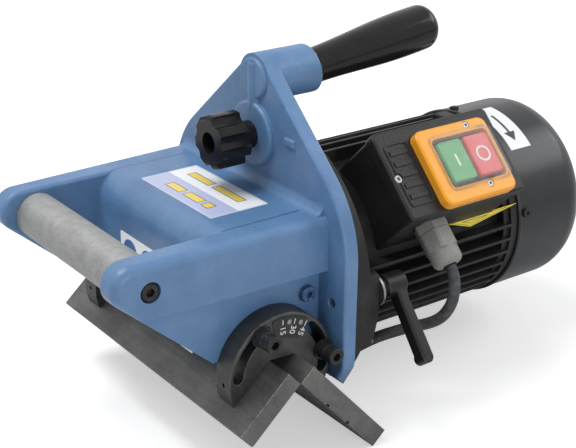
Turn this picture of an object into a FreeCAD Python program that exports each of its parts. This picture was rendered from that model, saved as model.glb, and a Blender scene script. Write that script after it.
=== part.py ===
import FreeCAD, Part
import math
import os
from FreeCAD import Placement, Rotation, Vector

# Hand-held edge milling machine: a painted casting with two cheeks and a grip, a tilting V guide
# under it, and an electric motor on an eccentric ring behind its plate, with the cutter on its shaft.
# The machine is laid out about its motor axis: Y runs along it, and Y = 0 is the plate's front face.
# STAND then moves everything so that Z = 0 is the floor under the middle of the machine.

STAND = Vector(-9.6, -63.0, 111.51)

# Casting
plate_thick = 12.0
plate_x = 5.0
plate_half = 112.0
plate_slope = 41.7
plate_top_r = 17.5
plate_shoulder_r = 80.0
plate_foot_z = -66.0
plate_foot_front_z = -53.5
boss_z = 147.0
boss_r = 18.5
boss_long = 50.0
deck_z = 68.0
deck_thick = 8.0
deck_half = 96.0
nose_half = 90.0
cheek_in = 71.0
recess_half = 86.0
recess_z = 27.0
nose_y = -170.0
wall_y = -92.0
wall_foot_z = -12.0
wall_round = 22.0

# Grip and handle
grip_y = -142.4
grip_z = 47.5
grip_r = 16.85
grip_wall = 3.2
grip_screw_r = 4.0
grip_sink_r = 7.6
grip_sink_deep = 6.5
handle_tilt = 7.5
handle_long = 120.0
handle_base_r = 13.5
handle_belly_r = 18.0
handle_end_round = 11.0
handle_stud_r = 6.0

# V guide, tilting about the line where its working faces meet
apex_y = -45.0
apex_z = -35.5
rest_tilt = 3.0
guide_long = 253.0
guide_front = 55.4
guide_rear = 103.0
guide_thick = 14.9
guide_gap = 0.5
window_half = 34.0
window_deep = 28.0
groove_wide = 4.0
groove_deep = 2.0
end_r = 44.4
end_thick = 17.0
slot_r = 37.0
slot_half = 4.4
slot_front = (115.0, 176.0)
slot_rear = (-9.0, 50.0)
clamp_front = 119.0
clamp_rear = 10.0
clamp_screw_r = 4.0
scale_margin = 10.0
tick_at = (60.0, 76.0, 92.0)
tick_deep = 0.3
guide_screw_r = 2.5

# Eccentric ring and what clamps it
ring_r = 110.0
ring_thick = 19.0
ecc = 10.0
ecc_turn = 20.0
spigot_r = 60.0
spigot_long = 10.0
ring_bore_r = 34.0
ring_foot_z = -66.0
ring_screw_pcd_r = 46.0
ring_screw_r = 3.0
ring_head_r = 5.0
pin_place = (98.0, -41.0)
lever_x = 102.0
lever_z = 4.0
lever_stud_r = 4.0
lever_pad = 7.0
washer_r = 12.5
washer_thick = 2.4
hub_r = 9.0
hub_long = 24.0
lever_reach = 60.0
lever_angle = 52.0
knob_z = 105.0
knob_r = 20.5
knob_lobes = 7
knob_stud_r = 5.0
knob_pad = 4.0

# Motor
body_r = 66.0
fin_r = 77.5
fin_count = 40
fin_thick = 2.6
stator_r = 60.0
air_r = 36.0
air_gap = 0.4
core_from = 32.0
core_long = 90.0
winding_long = 15.0
shield_thick = 13.0
tie_pcd_r = 62.8
tie_r = 2.5
body_long = 161.0
cowl_r = 78.6
cowl_wall = 1.5
fan_wide = 26.0
cowl_front_y = 212.6
cowl_rear_y = 296.0
cowl_round = 24.0
cowl_slots = ((20, 6), (30, 8), (40, 12), (50, 14))
bearing_r = 23.5
bearing_bore_r = 10.0
bearing_wide = 14.0
shaft_nose_r = 9.5
shaft_body_r = 12.0
shaft_fan_r = 8.0

# Cutter
cutter_r = 36.0
cutter_body_r = 33.0
cutter_wide = 26.0
cutter_y = -58.0
insert_count = 5
insert_side = 14.0
insert_thick = 4.8

# Switch box, laid out in its own frame: x across, y along the motor, z away from it
box_turn = 45.0
box_x = (-34.0, 37.0)
box_y = (72.0, 186.0)
box_top = 100.0
box_floor = 70.0
box_wall = 3.0
gasket_thick = 1.2
lid_high = 10.3
lid_over = 1.5
lid_screw_at = ((4.0, 76.5), (-22.5, 167.0), (31.5, 167.0))
bezel_screw_at = ((-21.5, 153.5), (28.6, 149.0))
bezel_screw_head_r = 2.8
panel_x = (-24.0, 28.0)
panel_y = (76.0, 99.0)
panel_rim = 1.4
panel_bar = 4.0
panel_bar_x = (-18.0, -9.0, 0.0, 9.0, 18.0)
panel_high = 0.8
bezel_x = (-26.0, 37.5)
bezel_y = (102.0, 174.0)
bezel_high = 8.0
window_x = (-16.0, 25.0)
window_y = (114.0, 170.0)
button_y = ((117.0, 140.5), (143.5, 167.0))
button_x = (-13.0, 22.0)
button_fit = 0.6
button_travel = 3.0
button_stem_r = 5.0
gland_y = 104.0
gland_up = 87.0
gland_flats = 24.0
gland_thread_r = 10.0
gland_nut_long = 15.0
gland_dome_long = 13.0

# Fits and small clearances
run_fit = 0.05
gap = 0.3
stud_fit = 0.1

# Mains lead
cord_d = 9.0
coil_turn_d = 100.0
coil_across = 2
coil_layers = 3

ring_y0 = plate_thick + gap
ring_y1 = ring_y0 + ring_thick
body_y0 = ring_y1 + shield_thick
body_y1 = body_y0 + body_long
X_AXIS = Vector(1, 0, 0)
Y_AXIS = Vector(0, 1, 0)
Z_AXIS = Vector(0, 0, 1)
apex = Vector(0, apex_y, apex_z)


def block(xs, ys, zs):
    corner = Vector(xs[0], ys[0], zs[0])
    return Part.makeBox(xs[1] - xs[0], ys[1] - ys[0], zs[1] - zs[0], corner)


def rod(start, axis, length, radius):
    return Part.makeCylinder(radius, length, start, axis)


def along_y(x, z, y0, y1, radius):
    return rod(Vector(x, y0, z), Y_AXIS, y1 - y0, radius)


def along_x(y, z, x0, x1, radius):
    return rod(Vector(x0, y, z), X_AXIS, x1 - x0, radius)


def tube_y(x, z, y0, y1, outer, inner):
    return along_y(x, z, y0, y1, outer).cut(along_y(x, z, y0 - 1, y1 + 1, inner))


def fuse(shapes):
    return shapes[0].multiFuse(shapes[1:]).removeSplitter()


def group(shapes):
    return Part.makeCompound(shapes)


def turned(shape, centre, axis, angle):
    copy = shape.copy()
    copy.rotate(centre, axis, angle)
    return copy


def mirrored(shape):
    return shape.mirror(Vector(0, 0, 0), X_AXIS)


def both_sides(shape):
    return group([shape, mirrored(shape)])


def corner_arc(before, corner, after, radius):
    """The rounding of one corner: where it starts, its middle and where it ends."""
    back = (before - corner).normalize()
    ahead = (after - corner).normalize()
    half = back.getAngle(ahead) / 2
    reach = radius / math.tan(half)
    middle = (back + ahead).normalize()
    centre = corner + middle * (radius / math.sin(half))
    return corner + back * reach, centre - middle * radius, corner + ahead * reach


def rounded_face(points, radii):
    """A flat face whose outline is a polygon with the given corner radii (0 keeps a corner sharp)."""
    count = len(points)
    spans = []
    for i in range(count):
        if radii[i]:
            spans.append(corner_arc(points[i - 1], points[i], points[(i + 1) % count], radii[i]))
        else:
            spans.append((points[i], None, points[i]))
    edges = []
    for i in range(count):
        start, middle, end = spans[i]
        if middle is not None:
            edges.append(Part.Arc(start, middle, end).toShape())
        following = spans[(i + 1) % count][0]
        if end.distanceToPoint(following) > 1e-6:
            edges.append(Part.LineSegment(end, following).toShape())
    return Part.Face(Part.Wire(edges))


def rounded_plate(xs, ys, zs, radius):
    """A flat block lying in XY with its four upright corners rounded."""
    corners = [Vector(x, y, zs[0]) for x, y in
               ((xs[0], ys[0]), (xs[1], ys[0]), (xs[1], ys[1]), (xs[0], ys[1]))]
    return rounded_face(corners, [radius] * 4).extrude(Z_AXIS * (zs[1] - zs[0]))


def edges_on(shape, test):
    return [e for e in shape.Edges if test(e.CenterOfMass)]


def cap_screw(start, axis, shank, shank_r, head_long, head_r, socket_r):
    """A cylinder-head screw: start is under the head, axis points from the thread to the head."""
    body = rod(start - axis * shank, axis, shank, shank_r)
    head = rod(start, axis, head_long, head_r)
    rim = head_r * 0.08
    head = head.makeChamfer(rim, edges_on(head, lambda c: (c - start).dot(axis) > head_long - 0.01))
    socket = hexagon(start + axis * (head_long * 0.45), axis, head_long, socket_r)
    return body.fuse(head).cut(socket)


def hexagon(start, axis, length, radius):
    """A six-sided prism; radius reaches its corners."""
    side = axis.cross(Z_AXIS if abs(axis.z) < 0.9 else X_AXIS).normalize()
    corners = []
    for i in range(6):
        spoke = Rotation(axis, 60.0 * i).multVec(side)
        corners.append(start + spoke * radius)
    return Part.Face(Part.makePolygon(corners + corners[:1])).extrude(axis * length)


def sector_slot(x, z, radius, half, a0, a1, y0, y1):
    """A curved slot about a Y axis, from a0 to a1 degrees from +X towards +Z, with round ends."""
    band = tube_y(x, z, y0, y1, radius + half, radius - half)
    ends = []
    for angle in (a0, a1):
        a = math.radians(angle)
        ends.append(along_y(x + radius * math.cos(a), z + radius * math.sin(a), y0, y1, half))
    return fuse([band.common(wedge_y(x, z, 2 * radius, a0, a1, y0, y1))] + ends)


def wedge_y(x, z, reach, a0, a1, y0, y1):
    """A wedge about a Y axis that spans a0 to a1 degrees and reaches past the parts it trims."""
    corners = [Vector(x, y0, z)]
    for angle in (a0, (a0 + a1) / 2, a1):
        a = math.radians(angle)
        corners.append(Vector(x + reach * math.cos(a), y0, z + reach * math.sin(a)))
    return Part.Face(Part.makePolygon(corners + corners[:1])).extrude(Y_AXIS * (y1 - y0))


# ---------------------------------------------------------------- casting

def plate():
    """The upright plate that carries the motor behind it and the handle on top."""
    slope = math.radians(plate_slope)
    top = boss_z + plate_top_r / math.cos(slope)
    shoulder_z = top - plate_half * math.tan(slope)
    foot_in = plate_half - 13
    right = [Vector(plate_x + plate_half, 0, shoulder_z), Vector(plate_x + plate_half, 0, -44),
             Vector(plate_x + foot_in, 0, plate_foot_z)]
    left = [Vector(2 * plate_x - p.x, 0, p.z) for p in reversed(right)]
    outline = [Vector(plate_x, 0, top)] + right + left
    face = rounded_face(outline, [plate_top_r, plate_shoulder_r, 14, 5, 5, 14, plate_shoulder_r])
    slab = face.extrude(Y_AXIS * plate_thick)
    slab = slab.makeFillet(2.0, edges_on(slab, lambda c: c.y < 0.01 or c.y > plate_thick - 0.01))
    foot = prism_x([(-20, plate_foot_front_z + 20), (-20, plate_foot_z - 60),
                    (40, plate_foot_z - 60), (40, plate_foot_front_z - 40)], -150, 150)
    return slab.cut(foot)


def prism_x(outline, x0, x1, radii=None):
    """A prism along X from an outline of (y, z) points."""
    points = [Vector(x0, y, z) for y, z in outline]
    return rounded_face(points, radii or [0] * len(points)).extrude(X_AXIS * (x1 - x0))


def cheek():
    """The right arm: it carries the grip at its nose and the V guide under its rear half."""
    outline = [(0, deck_z), (nose_y, deck_z), (nose_y, 45), (-91, -23.5), (-52, -18), (-31, -18), (0, -52)]
    arm = prism_x(outline, cheek_in, deck_half + 5, [0, 16, 15, 0, 0, 4, 0])
    plan = [Vector(cheek_in - 5, 5, -100), Vector(cheek_in - 5, nose_y - 5, -100),
            Vector(nose_half, nose_y - 5, -100), Vector(deck_half + 0.2, 5, -100)]
    arm = arm.common(rounded_face(plan, [0] * 4).extrude(Z_AXIS * 250))
    arm = arm.makeFillet(7.0, edges_on(arm, lambda c: c.x > nose_half - 1 and c.z > 14 and c.y < -1))
    arm = arm.makeFillet(3.0, edges_on(arm, lambda c: c.x < cheek_in + 0.1 and c.z > 14 and c.y < wall_y))
    recess = block((recess_half, 120), (-200, 0), (-100, recess_z))
    return arm.cut(recess)


def deck():
    """The top cover between the arms and the front wall that it rolls down into."""
    inner_y = wall_y + deck_thick
    outline = [(0, deck_z), (wall_y, deck_z), (wall_y, wall_foot_z), (inner_y, wall_foot_z),
               (inner_y, deck_z - deck_thick), (0, deck_z - deck_thick)]
    radii = [0, wall_round, 3, 3, wall_round - deck_thick, 0]
    return prism_x(outline, -cheek_in - 1, cheek_in + 1, radii)


def cove(y, z, x0, x1, radius):
    """The cast radius where a level face meets the plate's front face."""
    square = block((x0, x1), (y - radius, y + 1), (z - 1, z + radius))
    return square.cut(along_x(y - radius, z + radius, x0 - 1, x1 + 1, radius))


def casting_bosses():
    handle_boss = along_y(plate_x, boss_z, 0, boss_long + 4, boss_r)
    end = block((-60, 60), (0, 40), (-60, 60))
    end.rotate(Vector(0, 0, 0), X_AXIS, handle_tilt)
    end.translate(Vector(plate_x, boss_long, boss_z))
    handle_boss = handle_boss.cut(end)
    handle_boss = handle_boss.makeFillet(3.0, edges_on(handle_boss, lambda c: c.y > boss_long - 6))
    front = along_y(plate_x, boss_z, -2.5, 1, boss_r - 3)
    front = front.makeFillet(2.0, edges_on(front, lambda c: c.y < -2.4))
    pad = along_y(plate_x, knob_z, -knob_pad, 1, 25)
    pad = pad.makeFillet(2.5, edges_on(pad, lambda c: c.y < -knob_pad + 0.01))
    rib = rod(Vector(plate_x, 1.5, knob_z + 20), Z_AXIS, boss_z - knob_z - 8, 6)
    mark = block((44, 56), (-2, 1), (107, 113))
    mark = mark.makeFillet(1.5, edges_on(mark, lambda c: c.y < -1.99))
    return [handle_boss, front, pad, rib, mark]


def frame_casting():
    right = cheek()
    solids = [plate(), right, mirrored(right), deck()]
    solids += casting_bosses()
    solids.append(cove(0, deck_z, -deck_half + 6, deck_half - 6, 8))
    for x in (-38, 38):
        solids.append(block((x - 4, x + 4), (-30, 1), (62, deck_z - 4)))
    body = fuse(solids)
    cuts = [along_y(ecc, 0, -1, plate_thick + 1, spigot_r + run_fit)]
    cuts.append(along_y(plate_x, knob_z, -20, 20, knob_stud_r + stud_fit))
    cuts.append(along_y(lever_x, lever_z, -1, 20, lever_stud_r + stud_fit))
    stud = rod(Vector(0, 0, 0), Y_AXIS, 60, handle_stud_r + stud_fit)
    stud.rotate(Vector(0, 0, 0), X_AXIS, handle_tilt)
    stud.translate(handle_point(-34))
    cuts.append(stud)
    for side in (-1, 1):
        face = nose_face()
        inner, outer = sorted((side * 60, side * 110))
        cuts.append(along_x(grip_y, grip_z, inner, outer, grip_screw_r + stud_fit))
        inner, outer = sorted((side * (face - grip_sink_deep), side * 110))
        cuts.append(along_x(grip_y, grip_z, inner, outer, grip_sink_r))
        for angle in (clamp_front, clamp_rear):
            y, z = around_apex(slot_r, angle)
            inner, outer = sorted((side * 60, side * 100))
            cuts.append(along_x(y, z, inner, outer, clamp_screw_r + stud_fit))
        inner, outer = sorted((side * (recess_half - 11), side * 100))
        cuts.append(along_x(index_at()[0], index_at()[1], inner, outer, 3 + stud_fit))
    return body.cut(fuse(cuts))


def nose_face():
    """Half the casting's width at the grip, where the arms taper towards the nose."""
    share = grip_y / (nose_y - 5)
    return deck_half + (nose_half - deck_half) * share


def around_apex(radius, angle):
    """A (y, z) place about the guide's tilt axis; 0 degrees points to the rear, 90 up."""
    a = math.radians(angle)
    return apex_y + radius * math.cos(a), apex_z + radius * math.sin(a)


def index_at():
    return around_apex(56, 53)


def index_bolts():
    """The painted bolts on the cheeks that the angle scale is read against."""
    y, z = index_at()
    start = Vector(recess_half, y, z)
    shank = rod(start - X_AXIS * 10, X_AXIS, 10, 3)
    head = rod(start, X_AXIS, 4.5, 6.3)
    head = head.makeFillet(1.2, edges_on(head, lambda c: c.x > recess_half + 4.4))
    socket = hexagon(start + X_AXIS * 1.8, X_AXIS, 5, 3.0)
    return both_sides(shank.fuse(head).cut(socket))


# ---------------------------------------------------------------- grip and handle

def grip_tube():
    half = cheek_in - gap
    return along_x(grip_y, grip_z, -half, half, grip_r).cut(
        along_x(grip_y, grip_z, -half - 1, half + 1, grip_r - grip_wall))


def grip_bushes():
    half = cheek_in - gap
    plug = along_x(grip_y, grip_z, half - 26, half, grip_r - grip_wall)
    return both_sides(plug.cut(along_x(grip_y, grip_z, half - 27, half + 1, grip_screw_r + run_fit)))


def grip_screws():
    seat = nose_face() - grip_sink_deep
    return both_sides(cap_screw(Vector(seat, grip_y, grip_z), X_AXIS, seat - cheek_in + 18,
                                grip_screw_r, 6.0, 6.5, 3.4))


def handle_point(distance):
    """A point on the top handle's axis, measured from the end of its boss."""
    tilt = math.radians(handle_tilt)
    return Vector(plate_x, boss_long + distance * math.cos(tilt), boss_z + distance * math.sin(tilt))


def on_handle(shape):
    shape.rotate(Vector(0, 0, 0), X_AXIS, handle_tilt)
    shape.translate(handle_point(0))
    return shape


def handle_stud():
    return on_handle(rod(Vector(0, -32, 0), Y_AXIS, 32 + 40, handle_stud_r))


def top_handle():
    """The tapered machine handle, turned about the stud, with a rounded end."""
    base = 0.05
    shoulder = handle_belly_r - 0.6
    side = Part.BSplineCurve()
    side.interpolate([Vector(handle_base_r, 3, 0), Vector(handle_base_r + 1.4, handle_long * 0.28, 0),
                      Vector(handle_belly_r - 0.5, handle_long * 0.6, 0),
                      Vector(handle_belly_r, handle_long * 0.8, 0), Vector(shoulder, handle_long, 0)])
    foot = Vector(handle_base_r - 1.5, base, 0)
    edges = [side.toShape(),
             Part.LineSegment(Vector(shoulder, handle_long, 0), Vector(0, handle_long, 0)).toShape(),
             Part.LineSegment(Vector(0, handle_long, 0), Vector(0, base, 0)).toShape(),
             Part.LineSegment(Vector(0, base, 0), foot).toShape(),
             Part.LineSegment(foot, Vector(handle_base_r, 3, 0)).toShape()]
    body = Part.Face(Part.Wire(edges)).revolve(Vector(0, 0, 0), Y_AXIS, 360)
    body = body.makeFillet(handle_end_round, edges_on(body, lambda c: c.y > handle_long - 0.01))
    body = body.cut(rod(Vector(0, -1, 0), Y_AXIS, 42, handle_stud_r + run_fit))
    return on_handle(body)


# ---------------------------------------------------------------- V guide

def tilted(shape):
    """The guide's parts are drawn with both working faces at 45 degrees, then set to rest."""
    return turned(shape, apex, X_AXIS, -rest_tilt)


def guide_slab(width, front):
    """One guide plate, drawn flat and swung down by 45 degrees on its side of the apex."""
    half = guide_long / 2
    ys = (apex_y + guide_gap, apex_y + width)
    slab = block((-half, half), ys, (apex_z, apex_z + guide_thick))
    slab = slab.makeChamfer(0.8, edges_on(slab, lambda c: c.y > apex_y + width - 0.01))
    window = block((-window_half, window_half), (apex_y - 1, apex_y + window_deep),
                   (apex_z - 1, apex_z + guide_thick + 1))
    slab = slab.cut(window)
    if not front:
        for share in (0.35, 0.62):
            y = apex_y + width * share
            slab = slab.cut(block((-half - 1, half + 1), (y - groove_wide / 2, y + groove_wide / 2),
                                  (apex_z - 1, apex_z + groove_deep)))
    for x in guide_screw_x():
        for y in guide_screw_y(front):
            hole = rod(Vector(x, y, apex_z - 1), Z_AXIS, guide_thick + 2, guide_screw_r + stud_fit)
            head = Part.makeCone(5.0, guide_screw_r + stud_fit, 2.5, Vector(x, y, apex_z), Z_AXIS)
            slab = slab.cut(hole).cut(head)
    slab = turned(slab, apex, X_AXIS, -45)
    if front:
        slab = turned(slab, apex, Z_AXIS, 180)
    return tilted(slab)


def guide_screw_x():
    middle = recess_half + gap + end_thick / 2
    return (-middle, middle)


def guide_screw_y(front):
    return (apex_y + (13 if front else 10), apex_y + (31 if front else 20))


def guide_screws():
    """Countersunk screws from the working faces into the end plates."""
    screws = []
    for front in (True, False):
        for x in guide_screw_x():
            for y in guide_screw_y(front):
                foot = Vector(x, y, apex_z + 0.3)
                shank = rod(foot, Z_AXIS, guide_thick + 8.0, guide_screw_r)
                head = Part.makeCone(4.6, guide_screw_r, 2.1, foot, Z_AXIS)
                socket = hexagon(foot - Z_AXIS * 0.1, Z_AXIS, 2, 2.2)
                screw = turned(shank.fuse(head).cut(socket), apex, X_AXIS, -45)
                if front:
                    screw = turned(screw, apex, Z_AXIS, 180)
                screws.append(tilted(screw))
    return group(screws)


def guide_plate_front():
    return guide_slab(guide_front, True)


def guide_plate_rear():
    return guide_slab(guide_rear, False)


def end_plate_right():
    """The round-topped plate that joins the two guide plates and holds the angle slots."""
    x0 = recess_half + gap
    x1 = x0 + end_thick
    disc = along_x(apex_y, apex_z, x0, x1, end_r)
    disc = disc.makeChamfer(0.8, edges_on(disc, lambda c: c.x > x1 - 0.01))
    top = guide_thick * math.sqrt(0.5)
    reach = 90
    keep = prism_x([(apex_y - top, apex_z + top), (apex_y - top - reach, apex_z + top - reach),
                    (apex_y - reach - 40, apex_z + reach), (apex_y + reach + 40, apex_z + reach),
                    (apex_y + top + reach, apex_z + top - reach), (apex_y + top, apex_z + top)],
                   x0 - 1, x1 + 1)
    body = disc.common(keep)
    toe = apex_y - end_r * 0.985
    body = body.cut(block((x0 - 1, x1 + 1), (toe - 20, toe), (apex_z - 60, apex_z + 10)))
    hole_y, hole_z = toe + 6, apex_z - 4
    body = body.cut(rod(Vector(x0 + end_thick / 2, toe - 1, hole_z), Y_AXIS, 6, 1.8))
    for span in (slot_front, slot_rear):
        slot = sector_slot(apex_y, -apex_z, slot_r, slot_half, -span[1], -span[0], x0 - 1, x1 + 1)
        body = body.cut(to_side(slot))
    for front in (True, False):
        for y in guide_screw_y(front):
            foot = Vector(x0 + end_thick / 2, y, apex_z)
            hole = rod(foot, Z_AXIS, guide_thick + 8.6, guide_screw_r + run_fit)
            hole = turned(hole, apex, X_AXIS, -45)
            if front:
                hole = turned(hole, Vector(x0 + end_thick / 2, apex_y, apex_z), Z_AXIS, 180)
            body = body.cut(hole)
    scale = scale_plate(x1 - 1.0, x1 + 1, stud_fit)
    return tilted(body.cut(scale))


def to_side(shape):
    """Takes a shape drawn about a Y axis at (x, z) and stands it about an X axis at (y, -z)."""
    swing = Rotation(Vector(0, 1, 0), Vector(1, 0, 0), Vector(0, 0, -1), "XYZ")
    copy = shape.copy()
    copy.Placement = Placement(Vector(0, 0, 0), swing).multiply(copy.Placement)
    return copy


def scale_plate(x0, x1, grow=0.0):
    """A ring segment over the end plate's slots that carries the angle marks."""
    band = along_x(apex_y, apex_z, x0, x1, slot_r + 4.6 + grow).cut(
        along_x(apex_y, apex_z, x0 - 1, x1 + 1, slot_r - 12 - grow))
    low, high = slot_rear[1] + scale_margin - grow, slot_front[0] - scale_margin + grow
    ends = [Vector(x0 - 1, *around_apex(80, low)), Vector(x0 - 1, *around_apex(80, (low + high) / 2)),
            Vector(x0 - 1, *around_apex(80, high)), Vector(x0 - 1, apex_y, apex_z)]
    wedge = rounded_face(ends, [0] * 4).extrude(X_AXIS * (x1 - x0 + 2))
    return band.common(wedge)


def angle_scale():
    """The engraved angle scale: a tick and a rivet pair, read against the index bolt."""
    x1 = recess_half + gap + end_thick
    body = scale_plate(x1 - 0.95, x1 + 0.4)
    for angle in tick_at:
        tick = block((x1 + 0.4 - tick_deep, x1 + 1), (slot_r - 2, slot_r + 5), (-0.35, 0.35))
        tick.rotate(Vector(0, 0, 0), X_AXIS, angle)
        tick.translate(Vector(0, apex_y, apex_z))
        body = body.cut(tick)
    for angle in rivet_at():
        y, z = around_apex(slot_r + 0.5, angle)
        body = body.cut(along_x(y, z, x1 - 2, x1 + 2, 1.1 + run_fit))
    return tilted(body)


def rivet_at():
    return ((tick_at[0] + tick_at[1]) / 2, (tick_at[1] + tick_at[2]) / 2)


def scale_rivets():
    x1 = recess_half + gap + end_thick
    rivets = []
    for angle in rivet_at():
        y, z = around_apex(slot_r + 0.5, angle)
        shank = along_x(y, z, x1 - 0.9, x1 + 0.5, 1.1)
        head = along_x(y, z, x1 + 0.4, x1 + 1.0, 1.9)
        rivets.append(tilted(shank.fuse(head)))
    return both_sides(group(rivets))


def clamp_places():
    return [around_apex(slot_r, angle) for angle in (clamp_front, clamp_rear)]


def guide_washers():
    x0 = recess_half + gap + end_thick + gap
    rings = []
    for y, z in clamp_places():
        ring = along_x(y, z, x0, x0 + 1.6, 8.0)
        collar = along_x(y, z, x0 + 1.6, x0 + 9.0, 6.6)
        collar = collar.makeChamfer(0.7, edges_on(collar, lambda c: c.x > x0 + 8.9))
        stack = ring.fuse(collar).cut(along_x(y, z, x0 - 1, x0 + 20, clamp_screw_r + stud_fit))
        rings.append(stack)
    return both_sides(group(rings))


def guide_clamp_screws():
    x0 = recess_half + gap + end_thick + gap + 9.0
    screws = []
    for y, z in clamp_places():
        screws.append(cap_screw(Vector(x0, y, z), X_AXIS, x0 - cheek_in - 2, clamp_screw_r, 8.0, 6.5, 3.4))
    return both_sides(group(screws))


# ---------------------------------------------------------------- eccentric ring and its clamps

def ring_foot():
    """The space below the ring that the rear guide plate needs, at every depth setting."""
    slope = math.tan(math.radians(ecc_turn))
    left = -140
    points = [Vector(ecc, 0, ring_foot_z), Vector(140, 0, ring_foot_z), Vector(140, 0, -160),
              Vector(left, 0, -160), Vector(left, 0, ring_foot_z - (left - ecc) * slope)]
    return rounded_face(points, [0] * 5).extrude(Y_AXIS * 80)


def lever_arc():
    """Radius and angle of the clamp stud about the eccentric axis."""
    return math.hypot(lever_x - ecc, lever_z), math.degrees(math.atan2(lever_z, lever_x - ecc))


def eccentric_ring():
    flange = along_y(0, 0, ring_y0, ring_y1, ring_r)
    flange = flange.makeChamfer(1.2, edges_on(flange, lambda c: c.y > ring_y1 - 0.01))
    radius, angle = lever_arc()
    low = angle - ecc_turn - 1.5
    high = angle + 1.5
    pad = sector_slot(ecc, 0, radius, 13.5, low, high, ring_y1 - 1, ring_y1 + lever_pad)
    pad = pad.common(along_y(0, 0, ring_y1 - 2, ring_y1 + lever_pad + 1, ring_r))
    spigot = along_y(ecc, 0, ring_y0 - spigot_long, ring_y0 + 1, spigot_r)
    body = fuse([flange, pad, spigot])
    cuts = [along_y(0, 0, -10, 60, ring_bore_r), ring_foot()]
    cuts.append(sector_slot(ecc, 0, radius, lever_stud_r + 0.4, low, high, -10, 60))
    cuts.append(along_y(0, 0, ring_y1 - 3, ring_y1 + 1, motor_spigot_r() + run_fit))
    for x, z in ring_screw_places():
        cuts.append(along_y(x, z, -10, 60, ring_screw_r + stud_fit))
        cuts.append(along_y(x, z, -10, ring_y0 - spigot_long + 7, ring_head_r + 0.2))
    cuts.append(along_y(pin_at()[0], pin_at()[1], -10, 60, 1.5 + run_fit))
    return body.cut(fuse(cuts))


def motor_spigot_r():
    return ring_bore_r + 4


def ring_screw_places():
    reach = ring_screw_pcd_r * math.sqrt(0.5)
    return [(sx * reach, sz * reach) for sx in (-1, 1) for sz in (-1, 1)]


def ring_screws():
    seat = ring_y0 - spigot_long + 7
    back = Vector(0, -1, 0)
    shank = ring_y1 + 9 - seat
    return group([cap_screw(Vector(x, seat, z), back, shank, ring_screw_r, 6.0, ring_head_r, 2.9)
                  for x, z in ring_screw_places()])


def pin_at():
    return pin_place


def stop_pin():
    x, z = pin_at()
    pin = along_y(x, z, ring_y0 + 2, ring_y1 + 12, 1.5)
    return pin.makeChamfer(0.5, edges_on(pin, lambda c: c.y > ring_y1 + 11.9))


def clamp_washer():
    y0 = ring_y1 + lever_pad + gap
    disc = along_y(lever_x, lever_z, y0, y0 + washer_thick, washer_r)
    disc = disc.makeChamfer(0.6, edges_on(disc, lambda c: c.y > y0 + washer_thick - 0.1))
    return disc.cut(along_y(lever_x, lever_z, y0 - 1, y0 + 4, lever_stud_r + stud_fit))


def clamp_stud():
    """The stud that the lever tightens on, screwed into the plate and short of its front face."""
    y1 = ring_y1 + lever_pad + gap + washer_thick + 12
    stud = along_y(lever_x, lever_z, 4.0, y1, lever_stud_r)
    return stud.makeChamfer(0.6, edges_on(stud, lambda c: c.y < 4.01))


def clamp_lever():
    """The adjustable clamping lever: hub, raised arm and rounded tip."""
    y0 = ring_y1 + lever_pad + gap + washer_thick + gap
    neck = along_y(lever_x, lever_z, y0, y0 + 6, 7.2)
    hub = fuse([along_y(lever_x, lever_z, y0 + 6, y0 + hub_long, hub_r), neck])
    hub = hub.makeFillet(1.5, edges_on(hub, lambda c: c.y > y0 + hub_long - 0.1))
    arm = block((0, lever_reach), (-5.2, 5.2), (-6, 6))
    arm = arm.makeFillet(2.4, edges_on(arm, lambda c: abs(c.x - lever_reach / 2) < 1))
    taper = [Vector(-1, -9, -20), Vector(lever_reach + 1, -6, -20), Vector(lever_reach + 1, 4.6, -20),
             Vector(lever_reach - 8, 4.4, -20), Vector(14, 2.6, -20), Vector(-1, 6.5, -20)]
    arm = arm.common(rounded_face(taper, [0] * 6).extrude(Z_AXIS * 40))
    tip = rod(Vector(lever_reach - 1, -0.6, -5.6), Z_AXIS, 11.2, 4.9)
    arm = fuse([arm, tip])
    arm.rotate(Vector(0, 0, 0), Y_AXIS, lever_angle)
    arm.translate(Vector(lever_x, y0 + 18, lever_z))
    body = fuse([hub, arm])
    return body.cut(along_y(lever_x, lever_z, y0 - 1, y0 + 13, lever_stud_r + run_fit))


def lever_screw():
    """The small screw that holds the lever on its serrated hub."""
    y0 = ring_y1 + lever_pad + gap + washer_thick + gap + hub_long
    head = along_y(lever_x, lever_z, y0, y0 + 1.6, 4.6)
    return head.cut(block((lever_x - 5, lever_x + 5), (y0 + 0.9, y0 + 3), (lever_z - 0.6, lever_z + 0.6)))


def depth_knob():
    y1 = -knob_pad - gap
    y0 = y1 - 11
    front = y0 - 25
    star = along_y(plate_x, knob_z, front, y0, knob_r)
    star = star.makeFillet(3.0, edges_on(star, lambda c: c.y < front + 0.01))
    star = star.makeFillet(1.5, edges_on(star, lambda c: c.y > y0 - 0.01))
    scallops = []
    for i in range(knob_lobes):
        a = math.radians(360.0 * i / knob_lobes + 12)
        x = plate_x + (knob_r + 1.6) * math.cos(a)
        z = knob_z + (knob_r + 1.6) * math.sin(a)
        scallops.append(along_y(x, z, front - 1, y0 + 1, 6.2))
    star = star.cut(fuse(scallops))
    hub = fuse([star, along_y(plate_x, knob_z, y0 - 1, y1, 10.5)])
    hub = hub.cut(along_y(plate_x, knob_z, front - 1, front + 9, 8.0))
    return hub.cut(along_y(plate_x, knob_z, front + 15, y1 + 1, knob_stud_r + run_fit))


def knob_stud():
    """The locking screw moulded into the star knob; its end bears on the ring."""
    front = -knob_pad - gap - 11 - 25
    stud = along_y(plate_x, knob_z, front + 15, plate_thick, knob_stud_r)
    return stud.makeChamfer(0.8, edges_on(stud, lambda c: c.y > plate_thick - 0.01))


# ---------------------------------------------------------------- motor

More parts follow.
